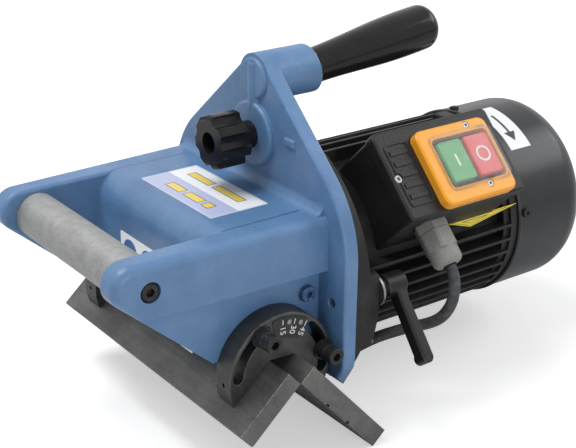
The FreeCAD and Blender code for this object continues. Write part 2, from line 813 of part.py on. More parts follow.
def motor_flange():
    """The front end shield: it locates in the ring and holds the front bearing."""
    disc = along_y(0, 0, ring_y1, body_y0, fin_r - 3)
    disc = disc.makeChamfer(2.0, edges_on(disc, lambda c: c.y < ring_y1 + 0.01))
    spigot = along_y(0, 0, ring_y1 - 2.5, ring_y1 + 1, motor_spigot_r())
    seat = along_y(0, 0, ring_y1, body_y0 + 10, bearing_r + 5)
    body = fuse([disc, spigot, seat])
    body = body.cut(along_y(0, 0, ring_y1 + 6, body_y0 + 11, bearing_r + run_fit))
    body = body.cut(along_y(0, 0, 0, 100, shaft_body_r + 3))
    for x, z in ring_screw_places():
        body = body.cut(along_y(x, z, ring_y1 - 3, ring_y1 + 10, ring_screw_r + stud_fit))
    for x, z in tie_places():
        body = body.cut(along_y(x, z, ring_y1 - 1, body_y0 + 1, tie_r + stud_fit))
    return body


def tie_places():
    angles = (0, 90, 180, 270)
    return [(tie_pcd_r * math.cos(math.radians(a)), tie_pcd_r * math.sin(math.radians(a))) for a in angles]


def tie_screws():
    """Screws through the rear shield and the front shield into the motor body's ends."""
    screws = []
    for x, z in tie_places():
        screws.append(cap_screw(Vector(x, body_y1 + 8.05, z), Y_AXIS, 22, tie_r, 4.0, 4.2, 2.3))
        screws.append(along_y(x, z, ring_y1 + 1.0, body_y0 + 14, tie_r))
    return group(screws)


def fin_outline():
    """The motor body's ribbed section, without ribs under the switch box."""
    points = []
    for i in range(fin_count):
        centre = 360.0 * (i + 0.5) / fin_count
        if abs((centre - 45 + 180) % 360 - 180) < 34:
            a = math.radians(centre)
            points.append(Vector(body_r * math.cos(a), 0, body_r * math.sin(a)))
            continue
        half_root = fin_thick * 0.75
        half_tip = fin_thick * 0.45
        corners = ((body_r, -half_root), (fin_r, -half_tip), (fin_r, half_tip), (body_r, half_root))
        for reach, half in corners:
            a = math.radians(centre)
            points.append(Vector(reach * math.cos(a) - half * math.sin(a), 0,
                                 reach * math.sin(a) + half * math.cos(a)))
    return points


def motor_housing():
    points = fin_outline()
    face = Part.Face(Part.makePolygon(points + points[:1]))
    body = face.extrude(Y_AXIS * body_long)
    body.translate(Vector(0, body_y0, 0))
    collars = [along_y(0, 0, y, y + 6, fin_r - 3) for y in (body_y0, body_y1 - 6)]
    lug = block((-7, 7), (body_y1 - 16, body_y1 - 2), (body_r - 2, fin_r + 4))
    lug = lug.makeFillet(2, edges_on(lug, lambda c: c.z > fin_r + 3.9))
    body = fuse([body] + collars + [lug])
    body = body.cut(along_y(0, 0, body_y0 - 1, body_y1 + 1, stator_r))
    box_space = boxed(block((box_x[0] - 1, box_x[1] + 1), (box_y[0] - 1, box_y[1] + 1), (body_r + 0.1, 120)))
    body = body.cut(box_space)
    for x, z in tie_places():
        for ys in ((body_y0 - 1, body_y0 + 15), (body_y1 - 15, body_y1 + 1)):
            body = body.cut(along_y(x, z, ys[0], ys[1], tie_r + run_fit))
    return body


def stator_core():
    y0 = body_y0 + core_from
    return tube_y(0, 0, y0, y0 + core_long, stator_r - run_fit, air_r)


def stator_winding():
    y0 = body_y0 + core_from
    y1 = y0 + core_long
    ends = []
    for start, end, free_end in ((y0 - winding_long, y0, y0 - winding_long),
                                 (y1, y1 + winding_long, y1 + winding_long)):
        ring = tube_y(0, 0, start, end, stator_r - 7, air_r + 3)
        ring = ring.makeFillet(3.0, edges_on(ring, lambda c: abs(c.y - free_end) < 0.1))
        ends.append(ring)
    return group(ends)


def rotor_core():
    y0 = body_y0 + core_from
    core = along_y(0, 0, y0, y0 + core_long, air_r - air_gap)
    vanes = []
    for i in range(12):
        vane = block((shaft_body_r + 8, air_r - 5), (y0 - 9, y0 + core_long + 9), (-1.2, 1.2))
        vane.rotate(Vector(0, 0, 0), Y_AXIS, 30.0 * i)
        vanes.append(vane)
    body = fuse([core] + vanes)
    return body.cut(along_y(0, 0, y0 - 20, y0 + core_long + 30, shaft_body_r + run_fit))


def motor_shaft():
    """The stepped shaft, with a nose for the cutter and a tail for the fan."""
    front = ring_y1 + 6
    rear = body_y1 - 6
    steps = [(cutter_y + cutter_wide - 2, shaft_nose_r), (front - 8, shaft_nose_r),
             (front, bearing_bore_r), (front + bearing_wide, shaft_body_r),
             (rear, bearing_bore_r), (rear + bearing_wide, shaft_fan_r)]
    tail = fan_y() + fan_wide + 3
    points = [Vector(0, steps[0][0], 0)]
    for i, (y, radius) in enumerate(steps):
        if i != 1:
            points.append(Vector(radius, y, 0))
            end = steps[i + 1][0] if i + 1 < len(steps) else tail
            end = steps[2][0] if i == 0 else end
            points.append(Vector(radius, end, 0))
    points.append(Vector(0, tail, 0))
    body = Part.Face(Part.makePolygon(points + points[:1])).revolve(Vector(0, 0, 0), Y_AXIS, 360)
    return body.cut(along_y(0, 0, cutter_y, cutter_y + cutter_wide + 20, 4 + run_fit))


def bearing_rows():
    return (ring_y1 + 6, body_y1 - 6)


def bearing_outer_rings():
    return group([tube_y(0, 0, y, y + bearing_wide, bearing_r, bearing_r - 4.2) for y in bearing_rows()])


def bearing_inner_rings():
    return group([tube_y(0, 0, y, y + bearing_wide, bearing_bore_r + 3.6, bearing_bore_r + run_fit)
                  for y in bearing_rows()])


def bearing_balls():
    middle = (bearing_r - 4.2 + bearing_bore_r + 3.6) / 2
    radius = (bearing_r - 4.2 - bearing_bore_r - 3.6) / 2 - run_fit
    balls = []
    for y in bearing_rows():
        for i in range(8):
            a = math.radians(45.0 * i)
            centre = Vector(middle * math.cos(a), y + bearing_wide / 2, middle * math.sin(a))
            balls.append(Part.makeSphere(radius, centre))
    return group(balls)


def rear_shield():
    y0 = body_y1
    rim = cowl_r - cowl_wall - gap
    disc = along_y(0, 0, y0, y0 + 8, rim)
    skirt = tube_y(0, 0, y0 + 7, cowl_front_y + 12, rim, rim - 6)
    seat = along_y(0, 0, y0 - 9, y0 + 12, bearing_r + 5)
    body = fuse([disc, skirt, seat])
    body = body.cut(along_y(0, 0, y0 - 10, y0 - 6 + bearing_wide, bearing_r + run_fit))
    body = body.cut(along_y(0, 0, y0 - 20, y0 + 20, shaft_fan_r + 4))
    for x, z in tie_places():
        body = body.cut(along_y(x, z, y0 - 1, y0 + 9, tie_r + stud_fit))
    for start, axis in cowl_screw_places():
        body = body.cut(rod(start - axis * 14, axis, 14, 2 + run_fit))
    return body


def fan_y():
    return body_y1 + 22


def cooling_fan():
    y0 = fan_y()
    hub = along_y(0, 0, y0, y0 + fan_wide, 13)
    disc = along_y(0, 0, y0, y0 + 2.5, 62)
    blades = []
    for i in range(9):
        blade = block((11, 64), (y0 + 1, y0 + fan_wide - 2), (-1.2, 1.2))
        blade.rotate(Vector(0, 0, 0), Y_AXIS, 40.0 * i)
        blades.append(blade)
    body = fuse([hub, disc] + blades)
    return body.cut(along_y(0, 0, y0 - 1, y0 + 30, shaft_fan_r + run_fit))


def cowl_solid(grow, y0):
    """The fan cowl's outer form, smaller all round by grow."""
    body = along_y(0, 0, y0, cowl_rear_y - grow, cowl_r - grow)
    return body.makeFillet(cowl_round - grow, edges_on(body, lambda c: c.y > cowl_rear_y - grow - 0.01))


def fan_cowl():
    """The sheet cowl: a rolled rim in front, and a ring pattern of slots in its rear face."""
    shell = cowl_solid(0, cowl_front_y).cut(cowl_solid(cowl_wall, cowl_front_y - 5))
    bead = Part.makeTorus(cowl_r - 0.4, 1.1, Vector(0, cowl_front_y + 1.6, 0), Y_AXIS)
    shell = fuse([shell, bead.cut(along_y(0, 0, cowl_front_y - 5, cowl_front_y + 9, cowl_r - cowl_wall))])
    slots = []
    for radius, count in cowl_slots:
        band = tube_y(0, 0, cowl_rear_y - 4, cowl_rear_y + 2, radius + 2.6, radius - 2.6)
        share = 360.0 / count
        for i in range(count):
            bar = block((0, 80), (cowl_rear_y - 5, cowl_rear_y + 3), (-2.0, 2.0))
            bar.rotate(Vector(0, 0, 0), Y_AXIS, share * i + radius)
            band = band.cut(bar)
        slots.append(band)
    shell = shell.cut(group(slots))
    for start, axis in cowl_screw_places():
        shell = shell.cut(rod(start - axis * 10, axis, 14, 2 + stud_fit))
    return shell


def cowl_screw_places():
    """Where each cowl screw's head sits on the cowl, and which way it faces."""
    places = []
    for angle in (10, 100, 190, 280):
        a = math.radians(angle)
        axis = Vector(math.cos(a), 0, math.sin(a))
        places.append((axis * (cowl_r + 0.15) + Y_AXIS * (cowl_front_y + 7.5), axis))
    return places


def cowl_screws():
    return group([cap_screw(start, axis, 7, 2.0, 2.2, 3.8, 1.6) for start, axis in cowl_screw_places()])


# ---------------------------------------------------------------- cutter

def cutter_body():
    y1 = cutter_y + cutter_wide
    disc = along_y(0, 0, cutter_y, y1, cutter_body_r)
    disc = disc.makeChamfer(1.5, edges_on(disc, lambda c: c.y < cutter_y + 0.01 or c.y > y1 - 0.01))
    for i in range(insert_count):
        pocket = block((cutter_body_r - 11, 50), (cutter_y - 1, y1 + 1), (0, 16))
        pocket = pocket.makeFillet(3.0, edges_on(pocket, lambda c: abs(c.x - cutter_body_r + 11) < 0.1
                                                 and abs(c.z) < 0.1))
        seat = block((cutter_r - insert_side - run_fit, 50), insert_y(), (-insert_thick, 1))
        screw = rod(insert_middle() - Z_AXIS * 10, Z_AXIS, 12, 2.2 + stud_fit)
        cut = pocket.fuse(seat).fuse(screw)
        disc = disc.cut(turned(cut, Vector(0, 0, 0), Y_AXIS, 360.0 * i / insert_count))
    disc = disc.cut(along_y(0, 0, y1 - 12, y1 + 1, shaft_nose_r + 3))
    disc = disc.cut(along_y(0, 0, cutter_y - 1, y1 + 1, 4 + stud_fit))
    collar = tube_y(0, 0, y1 - 12, y1 + 30, shaft_nose_r + 6, shaft_nose_r + run_fit)
    disc = fuse([disc, collar.cut(along_y(0, 0, y1 + 12, y1 + 31, 60))])
    return disc.cut(along_y(0, 0, cutter_y - 1, cutter_y + 5, 8.2))


def insert_y():
    middle = cutter_y + cutter_wide / 2
    return (middle - insert_side / 2, middle + insert_side / 2)


def insert_middle():
    return Vector(cutter_r - insert_side / 2, cutter_y + cutter_wide / 2, 0)


def cutter_inserts():
    """Square indexable inserts, one in each pocket, with their edges on the cutting circle."""
    plates = []
    ys = (insert_y()[0] + gap / 2, insert_y()[1] - gap / 2)
    for i in range(insert_count):
        insert = block((cutter_r - insert_side, cutter_r), ys, (-insert_thick + 0.05, 0))
        insert = insert.cut(rod(insert_middle() - Z_AXIS * 10, Z_AXIS, 12, 2.2 + stud_fit))
        plates.append(turned(insert, Vector(0, 0, 0), Y_AXIS, 360.0 * i / insert_count))
    return group(plates)


def insert_screws():
    screws = []
    for i in range(insert_count):
        screw = rod(insert_middle() - Z_AXIS * 9.5, Z_AXIS, 9.5, 2.2)
        screw = screw.fuse(rod(insert_middle(), Z_AXIS, 1.2, 3.2))
        screws.append(turned(screw.removeSplitter(), Vector(0, 0, 0), Y_AXIS, 360.0 * i / insert_count))
    return group(screws)


def cutter_bolt():
    seat = Vector(0, cutter_y + 5, 0)
    return cap_screw(seat, Vector(0, -1, 0), cutter_wide + 12, 4.0, 6.0, 7.6, 3.4)


# ---------------------------------------------------------------- switch box

def boxed(shape):
    return turned(shape, Vector(0, 0, 0), Y_AXIS, box_turn)


def switch_box():
    """The terminal box, its foot shaped to the motor body's curve."""
    foot = rounded_plate(box_x, box_y, (40, box_top), 3)
    foot = foot.cut(along_y(0, 0, 0, 300, body_r + gap))
    inside = rounded_plate((box_x[0] + box_wall, box_x[1] - box_wall),
                           (box_y[0] + box_wall, box_y[1] - box_wall), (box_floor, box_top + 1), 2)
    body = foot.cut(inside)
    body = body.cut(rod(Vector(20, gland_y, gland_up), X_AXIS, 30, gland_thread_r + stud_fit))
    posts = []
    for x, y in lid_screw_at:
        post = rod(Vector(x, y, box_floor - 1), Z_AXIS, box_top - box_floor + 1, 4.4)
        posts.append(post)
    body = fuse([body] + posts)
    for x, y in lid_screw_at:
        body = body.cut(rod(Vector(x, y, box_top - 14), Z_AXIS, 20, 1.8 + run_fit))
    return boxed(body)


def lid_gasket():
    ring = rounded_plate(box_x, box_y, (box_top, box_top + gasket_thick), 3)
    hole = rounded_plate((box_x[0] + box_wall, box_x[1] - box_wall),
                         (box_y[0] + box_wall, box_y[1] - box_wall), (box_top - 1, box_top + 3), 2)
    ring = ring.cut(hole)
    pads = [rod(Vector(x, y, box_top), Z_AXIS, gasket_thick, 4.4) for x, y in lid_screw_at]
    ring = fuse([ring] + pads)
    for x, y in lid_screw_at:
        ring = ring.cut(rod(Vector(x, y, box_top - 1), Z_AXIS, 4, 1.8 + stud_fit))
    return boxed(ring)


def lid_base():
    return box_top + gasket_thick


def box_lid():
    """The moulded lid: rounded rim, switch opening and a plain raised panel at its front end."""
    z0 = lid_base()
    z1 = z0 + lid_high
    xs = (box_x[0] - lid_over, box_x[1] + lid_over)
    ys = (box_y[0] - lid_over, box_y[1] + lid_over)
    lid = rounded_plate(xs, ys, (z0, z1), 5)
    lid = lid.makeFillet(2.5, edges_on(lid, lambda c: c.z > z1 - 0.01))
    inside = rounded_plate((box_x[0] + box_wall, box_x[1] - box_wall),
                           (box_y[0] + box_wall, box_y[1] - box_wall), (z0 - 1, z1 - 3), 2)
    lid = lid.cut(inside)
    posts = [rod(Vector(x, y, z0), Z_AXIS, lid_high - 1, 4.4) for x, y in lid_screw_at]
    lid = fuse([lid] + posts)
    lid = lid.cut(block((window_x[0] - 1, window_x[1] + 1), (window_y[0] - 1, window_y[1] + 1),
                        (z0 - 2, z1 + 2)))
    bars = [block((x, x + panel_bar), (panel_y[0] + 3, panel_y[1] - 3), (z1 - 0.5, z1 + panel_high))
            for x in panel_bar_x]
    rim = rounded_plate(panel_x, panel_y, (z1 - 0.5, z1 + panel_high), 3).cut(
        rounded_plate((panel_x[0] + panel_rim, panel_x[1] - panel_rim),
                      (panel_y[0] + panel_rim, panel_y[1] - panel_rim), (z1 - 1, z1 + 2), 2))
    lid = fuse([lid, rim] + bars)
    for x, y in bezel_screw_at:
        lid = lid.cut(rod(Vector(x, y, z0 - 1), Z_AXIS, 20, 1.5 + run_fit))
    for x, y in lid_screw_at:
        lid = lid.cut(rod(Vector(x, y, z0 - 1), Z_AXIS, 20, 1.8 + stud_fit))
        lid = lid.cut(rod(Vector(x, y, z1 - 2.4), Z_AXIS, 20, 3.6))
    return boxed(lid)


def box_screws():
    """The lid's screws, two of them under the bezel, and the two small screws of the bezel."""
    screws = []
    z1 = lid_base() + lid_high
    for x, y in lid_screw_at:
        screws.append(cap_screw(Vector(x, y, z1 - 2.35), Z_AXIS, lid_high + 8, 1.8, 2.2, 3.3, 1.6))
    top = z1 + bezel_high
    for x, y in bezel_screw_at:
        seat = Vector(x, y, top - 1.95)
        screws.append(cap_screw(seat, Z_AXIS, bezel_high + 4, 1.5, 1.8, bezel_screw_head_r, 1.3))
    return boxed(group(screws))


def switch_bezel():
    z0 = lid_base() + lid_high
    z1 = z0 + bezel_high
    body = rounded_plate(bezel_x, bezel_y, (z0, z1), 7)
    body = body.makeFillet(2.2, edges_on(body, lambda c: c.z > z1 - 0.01))
    body = body.cut(rounded_plate(window_x, window_y, (z0 - 1, z1 + 1), 4))
    for x, y in bezel_screw_at:
        body = body.cut(rod(Vector(x, y, z0 - 1), Z_AXIS, 20, 1.5 + stud_fit))
        body = body.cut(rod(Vector(x, y, z1 - 2.0), Z_AXIS, 20, bezel_screw_head_r + gap))
    return boxed(body)


def button(which):
    """A push button with its stem down to the switch."""
    z0 = lid_base() + lid_high
    top = z0 + bezel_high + 1.2
    ys = button_y[which]
    cap = rounded_plate((button_x[0] + button_fit, button_x[1] - button_fit), ys, (z0 + 3.5, top), 3)
    cap = cap.makeFillet(1.2, edges_on(cap, lambda c: c.z > top - 0.01))
    middle = button_centre(ys, box_top + button_travel + 0.5)
    stem = rod(middle, Z_AXIS, z0 + 4 - middle.z, button_stem_r)
    return boxed(fuse([cap, stem]))


def start_button():
    return button(0)


def stop_button():
    return button(1)


def switch_cover():
    """The clear soft cover over the two buttons, its edge curved in around the bezel's screws."""
    z0 = lid_base() + lid_high + bezel_high
    rise = 3.4
    xs = (window_x[0] - 3, window_x[1] + 3)
    ys = (window_y[0] - 3, window_y[1] + 3)
    outer = rounded_plate(xs, ys, (z0, z0 + rise), 6)
    outer = outer.makeFillet(2.0, edges_on(outer, lambda c: c.z > z0 + rise - 0.01))
    inner = rounded_plate((window_x[0] - 0.5, window_x[1] + 0.5), (window_y[0] - 0.5, window_y[1] + 0.5),
                          (z0 - 1, z0 + rise - 1.0), 4)
    for x, y in bezel_screw_at:
        outer = outer.cut(rod(Vector(x, y, z0 - 1), Z_AXIS, 20, bezel_screw_head_r + 0.5))
        inner = inner.cut(rod(Vector(x, y, z0 - 2), Z_AXIS, 20, bezel_screw_head_r + 2.0))
    return boxed(outer.cut(inner))


def switch_module():
    """The contact block that the buttons work on."""
    body = block((button_x[0] - 4, button_x[1] + 4), (window_y[0] - 2, window_y[1] + 2),
                 (box_floor + 0.5, box_top))
    body = body.makeFillet(1.5, edges_on(body, lambda c: abs(c.z - (box_floor + box_top) / 2) < 1))
    tabs = [block((x - 3, x + 3), (window_y[1] + 1, window_y[1] + 7), (box_floor + 6, box_floor + 7))
            for x in (-8, 4, 16)]
    sleeves = []
    for ys in button_y:
        centre = button_centre(ys, box_top - 1)
        sleeve = rod(centre, Z_AXIS, 9, button_stem_r + 2.3)
        sleeves.append(sleeve.cut(rod(centre - Z_AXIS, Z_AXIS, 12, button_stem_r + gap)))
    return boxed(fuse([body] + tabs + sleeves))


def button_centre(ys, z):
    return Vector((button_x[0] + button_x[1]) / 2, (ys[0] + ys[1]) / 2, z)


def run_capacitor():
    can = rod(Vector(box_x[0] + 12.5, box_y[0] + 25, box_floor + 13.9), X_AXIS, 44, 13.5)
    return boxed(can.makeFillet(1.5, [e for e in can.Edges if e.Length > 60]))


def gland_centre(x):
    return Vector(x, gland_y, gland_up)


def gland_body():
    """The cable gland's body: thread and lock nut inside the box, collar and thread outside."""
    thread = rod(gland_centre(box_x[1] - 9), X_AXIS, 9 + 18, gland_thread_r)
    collar = hexagon(gland_centre(box_x[1]), X_AXIS, 7, gland_flats / math.sqrt(3))
    lock = hexagon(gland_centre(box_x[1] - box_wall - 4), X_AXIS, 4, gland_flats / math.sqrt(3))
    body = fuse([thread, collar, lock])
    return boxed(body.cut(rod(gland_centre(0), X_AXIS, 90, cord_d / 2 + 1.6)))


def gland_nut():
    """The cap nut that grips the lead, with a rounded outer end."""
    start = box_x[1] + 7.3
    nut = hexagon(gland_centre(start), X_AXIS, gland_nut_long, gland_flats / math.sqrt(3))
    nut = nut.common(rod(gland_centre(start), X_AXIS, gland_nut_long, gland_flats / 2 + 1.2))
    dome = rod(gland_centre(start + gland_nut_long), X_AXIS, gland_dome_long, gland_flats / 2)
    dome = dome.makeFillet(5.0, edges_on(dome, lambda c: c.x > gland_end_x() - 0.01))
    body = fuse([nut, dome])
    body = body.cut(rod(gland_centre(start - 1), X_AXIS, 13, gland_thread_r + run_fit))
    return boxed(body.cut(rod(gland_centre(0), X_AXIS, 100, cord_d / 2 + 0.9)))


def gland_seal():
    start = box_x[1] + 20
    ring = rod(gland_centre(start), X_AXIS, gland_end_x() - start + 0.8, cord_d / 2 + 0.85)
    return boxed(ring.cut(rod(gland_centre(start - 1), X_AXIS, 30, cord_d / 2)))


def gland_end_x():
    return box_x[1] + 7.3 + gland_nut_long + gland_dome_long


def cord_exit():
    """Where the lead leaves the gland, in the finished frame."""
    return boxed(Part.Vertex(gland_centre(gland_end_x() + 1.0))).Point + STAND


# ---------------------------------------------------------------- mains lead

# The lead's route in the finished frame, from the gland, down past the clamp lever, along behind
# the ring, under the motor and back to the coil on the floor.
cord_route = [
    (103.7, 41.0, 121.3),
    (111.5, 41.0, 113.5),
    (116.3, 39.4, 101.4),
    (115.4, 35.4, 88.9),
    (109.0, 29.4, 78.4),
    (97.5, 22.4, 70.7),
    (82.0, 12.9, 65.4),
    (68.0, -0.6, 57.9),
    (55.0, -13.1, 45.4),
    (38.0, -21.1, 30.4),
    (12.0, -22.6, 17.9),
    (-19.0, -18.6, 10.5),
    (-53.0, -7.1, 6.2),
    (-86.0, 13.9, 4.8),
    (-115.0, 42.9, 4.6),
    (-142.0, 68.9, 4.5),
    (-172.6, 86.7, 4.5),
]
coil_middle = Vector(-154.0, 137.9, 0)


def arc_radius(before, corner, after):
    back = before - corner
    ahead = after - corner
    turn = math.pi - back.getAngle(ahead)
    return 0.45 * min(back.Length, ahead.Length) / math.tan(turn / 2)


def cord_path(points):
    """Straight runs joined by the largest tangent arcs that they allow."""
    edges = []
    start = points[0]
    radii = []
    for i in range(1, len(points) - 1):
        radius = arc_radius(points[i - 1], points[i], points[i + 1])
        radii.append(radius)
        first, middle, last = corner_arc(points[i - 1], points[i], points[i + 1], radius)
        edges.append(Part.LineSegment(start, first).toShape())
        edges.append(Part.Arc(first, middle, last).toShape())
        start = last
    edges.append(Part.LineSegment(start, points[-1]).toShape())
    print("cord arc radii, mm:", [round(r, 1) for r in radii])
    return Part.Wire(edges)


def mains_cable():
    points = [Vector(*p) for p in cord_route]
    path = cord_path(points)
    start = points[1] - points[0]
    section = Part.Wire([Part.makeCircle(cord_d / 2, points[0], start)])
    tube = path.makePipeShell([section], True, False)
    print("cord tube: length", round(path.Length, 1), "volume share",
          round(tube.Volume / (path.Length * math.pi * cord_d ** 2 / 4), 4))
    return tube


def coil_outer_r():
    return coil_turn_d / 2 + coil_across * cord_d / 2


def cable_coil():
    """The stored length: a neat round coil lying on the floor."""
    inner = coil_turn_d / 2 - coil_across * cord_d / 2
    high = coil_layers * cord_d
    body = Part.makeCylinder(coil_outer_r(), high, coil_middle, Z_AXIS)
    body = body.cut(Part.makeCylinder(inner, high + 2, coil_middle - Z_AXIS, Z_AXIS))
    return body.makeFillet(3.0, [e for e in body.Edges if e.Length > 100])


def mains_plug():
    """A moulded two-pin plug lying on the coil."""
    base_z = coil_layers * cord_d + 0.3
    centre = coil_middle + Vector(0, -coil_turn_d / 2, 0)
    body = Part.makeCylinder(18, 30, Vector(0, 0, 0), X_AXIS)
    body = body.makeFillet(4, [e for e in body.Edges if e.Length > 100])
    neck = Part.makeCone(5.5, 9, 26, Vector(-25, 0, 0), X_AXIS)
    pins = [Part.makeCylinder(2.4, 20, Vector(29, side * 9.5, 0), X_AXIS) for side in (-1, 1)]
    plug = fuse([body, neck] + pins)
    plug.rotate(Vector(0, 0, 0), Z_AXIS, 180)
    plug.translate(Vector(centre.x, centre.y, base_z + 18))
    return plug


def export(name, shape):
    solid = shape.copy()
    if name not in ("mains_cable", "cable_coil", "mains_plug"):
        solid.translate(STAND)
    solid.exportStep("parts/" + name + ".step")
    return solid


def main():
    os.makedirs("parts", exist_ok=True)
    makers = [frame_casting, index_bolts, grip_tube, grip_bushes, grip_screws, handle_stud, top_handle,
              guide_plate_front, guide_plate_rear, guide_screws, scale_rivets, guide_washers,
              guide_clamp_screws, eccentric_ring, ring_screws, stop_pin, clamp_washer, clamp_stud,
              clamp_lever, lever_screw, depth_knob, knob_stud, motor_flange, tie_screws, motor_housing,
              stator_core, stator_winding, rotor_core, motor_shaft, bearing_outer_rings,
              bearing_inner_rings, bearing_balls, rear_shield, cooling_fan, fan_cowl, cowl_screws,
              cutter_body, cutter_inserts, insert_screws, cutter_bolt, switch_box, lid_gasket, box_lid,
              box_screws, switch_bezel, start_button, stop_button, switch_cover, switch_module,
              run_capacitor, gland_body, gland_nut, gland_seal, mains_cable, cable_coil, mains_plug]
    shapes = {}
    for maker in makers:
        shapes[maker.__name__] = export(maker.__name__, maker())
    right = end_plate_right()
    shapes["end_plate_right"] = export("end_plate_right", right)
    shapes["end_plate_left"] = export("end_plate_left", mirrored(right))
    scale = angle_scale()
    shapes["angle_scales"] = export("angle_scales", both_sides(scale))
    print("cord exit", [round(v, 2) for v in cord_exit()])
    box = None
    for name, shape in shapes.items():
        bad = "" if shape.isValid() else " INVALID"
        if bad or not shape.Solids:
            print(name, len(shape.Solids), bad)
        if name in ("mains_cable", "cable_coil", "mains_plug"):
            continue
        if box is None:
            box = shape.BoundBox
        else:
            box.add(shape.BoundBox)
    print("machine box", [round(v, 2) for v in (box.XMin, box.XMax, box.YMin, box.YMax, box.ZMin, box.ZMax)])
    print("nodes", len(shapes), "solids", sum(len(s.Solids) for s in shapes.values()))


main()
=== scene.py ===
import math
import bmesh
import bpy
from mathutils import Matrix, Vector


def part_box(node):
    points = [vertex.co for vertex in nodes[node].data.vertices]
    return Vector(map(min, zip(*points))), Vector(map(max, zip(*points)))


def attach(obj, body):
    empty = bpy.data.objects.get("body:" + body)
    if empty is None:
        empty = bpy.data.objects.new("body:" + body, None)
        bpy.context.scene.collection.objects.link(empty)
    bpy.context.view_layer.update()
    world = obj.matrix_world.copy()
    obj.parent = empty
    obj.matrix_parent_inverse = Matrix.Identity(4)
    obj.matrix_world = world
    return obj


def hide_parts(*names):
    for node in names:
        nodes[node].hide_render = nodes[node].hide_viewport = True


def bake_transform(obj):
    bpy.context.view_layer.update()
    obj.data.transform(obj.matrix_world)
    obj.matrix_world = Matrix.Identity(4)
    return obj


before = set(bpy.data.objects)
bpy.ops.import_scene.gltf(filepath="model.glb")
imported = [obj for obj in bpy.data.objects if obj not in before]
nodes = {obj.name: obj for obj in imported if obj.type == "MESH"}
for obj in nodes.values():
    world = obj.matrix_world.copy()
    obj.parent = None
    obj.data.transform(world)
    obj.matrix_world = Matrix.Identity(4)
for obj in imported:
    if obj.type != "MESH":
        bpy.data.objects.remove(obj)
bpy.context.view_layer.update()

# ---------------------------------------------------------------- camera
# A long lens in front of the right cheek and above it, looking down at the casting and along the
# motor behind it.
eye = Vector((0.7724, -0.6099, 0.54901))
looked_at = Vector((0.0389, -0.0630, 0.15841))
camera_data = bpy.data.cameras.new("camera")
camera_data.lens = 84.9
camera_data.clip_end = 20
camera = bpy.data.objects.new("camera", camera_data)
bpy.context.scene.collection.objects.link(camera)
roll = Matrix.Rotation(math.radians(0.77), 4, "Z")
turn = (looked_at - eye).to_track_quat("-Z", "Y").to_matrix().to_4x4()
camera.matrix_world = Matrix.Translation(eye) @ turn @ roll
bpy.context.scene.camera = camera

# ---------------------------------------------------------------- mains lead
# Rubber-sheathed 9 mm lead. It leaves the gland on the switch box, bends down past the clamp
# lever, runs under the motor and lies on the floor behind, its spare length coiled.
lead_d = 0.009
lead_route = [
    (0.1037, 0.0410, 0.1213),
    (0.1078, 0.0410, 0.1170),
    (0.1112, 0.0400, 0.1070),
    (0.1118, 0.0380, 0.0950),
    (0.1070, 0.0340, 0.0825),
    (0.0980, 0.0290, 0.0745),
    (0.0860, 0.0215, 0.0690),
    (0.0765, 0.0095, 0.0635),
    (0.0680, -0.0006, 0.0579),
    (0.0550, -0.0131, 0.0454),
    (0.0400, -0.0175, 0.0304),
    (0.0130, -0.0180, 0.0179),
    (-0.0190, -0.0135, 0.0105),
    (-0.0530, -0.0040, 0.0062),
    (-0.0860, 0.0139, 0.0048),
    (-0.1150, 0.0429, 0.0046),
    (-0.1420, 0.0689, 0.0045),
    (-0.1726, 0.0867, 0.0045),
]
coil_middle = Vector((-0.1540, 0.1379, 0))
coil_inner = 0.0455
coil_outer = 0.0545
join_angle = -110.0
points_a_turn = 16
# Each step of the winding: the angles it happens between, and the radius and height it leads to.
coil_steps = [
    (310, 360, coil_inner, 0.0045),
    (620, 670, coil_inner, 0.0135),
    (930, 980, coil_outer, 0.0135),
    (1240, 1290, coil_outer, 0.0225),
    (1550, 1600, coil_inner, 0.0225),
]
coil_end = 1642
lead_tail = [
    (-0.1167, 0.1640, 0.0238),
    (-0.1083, 0.1501, 0.0285),
    (-0.1023, 0.1355, 0.0330),
    (-0.0983, 0.1205, 0.0362),
    (-0.0980, 0.1060, 0.0392),
    (-0.1025, 0.0945, 0.0420),
    (-0.1130, 0.0885, 0.0446),
    (-0.1215, 0.0879, 0.0453),
    (-0.1320, 0.0879, 0.0453),
]
lead_points = list(lead_route)
wound = 360 / points_a_turn
shrink = math.cos(math.pi / points_a_turn)
while wound <= coil_end:
    radius, height = coil_outer, 0.0045
    for first, last, next_radius, next_height in coil_steps:
        share = min(max((wound - first) / (last - first), 0), 1)
        radius += (next_radius - radius) * share
        height += (next_height - height) * share
    angle = math.radians(join_angle - wound)
    lead_points.append((coil_middle.x + radius / shrink * math.cos(angle),
                        coil_middle.y + radius / shrink * math.sin(angle), height))
    wound += 360 / points_a_turn
lead_points += lead_tail
lead_curve = bpy.data.curves.new("lead_line", "CURVE")
lead_curve.dimensions = "3D"
lead_curve.resolution_u = 6
spline = lead_curve.splines.new("NURBS")
spline.points.add(len(lead_points) - 1)
for point, place in zip(spline.points, lead_points):
    point.co = (*place, 1)
spline.order_u = 3
spline.use_endpoint_u = True
lead_line = bpy.data.objects.new("lead_line", lead_curve)
bpy.context.scene.collection.objects.link(lead_line)
bpy.context.view_layer.update()
line_mesh = bpy.data.meshes.new_from_object(lead_line)
lead_curve.bevel_depth = lead_d / 2
lead_curve.bevel_resolution = 4
lead_curve.use_fill_caps = True
bpy.context.view_layer.update()
lead_mesh = bpy.data.meshes.new_from_object(lead_line)
bpy.data.objects.remove(lead_line)
mains_lead = bpy.data.objects.new("mains_lead", lead_mesh)
bpy.context.scene.collection.objects.link(mains_lead)
lead_mesh.shade_smooth()


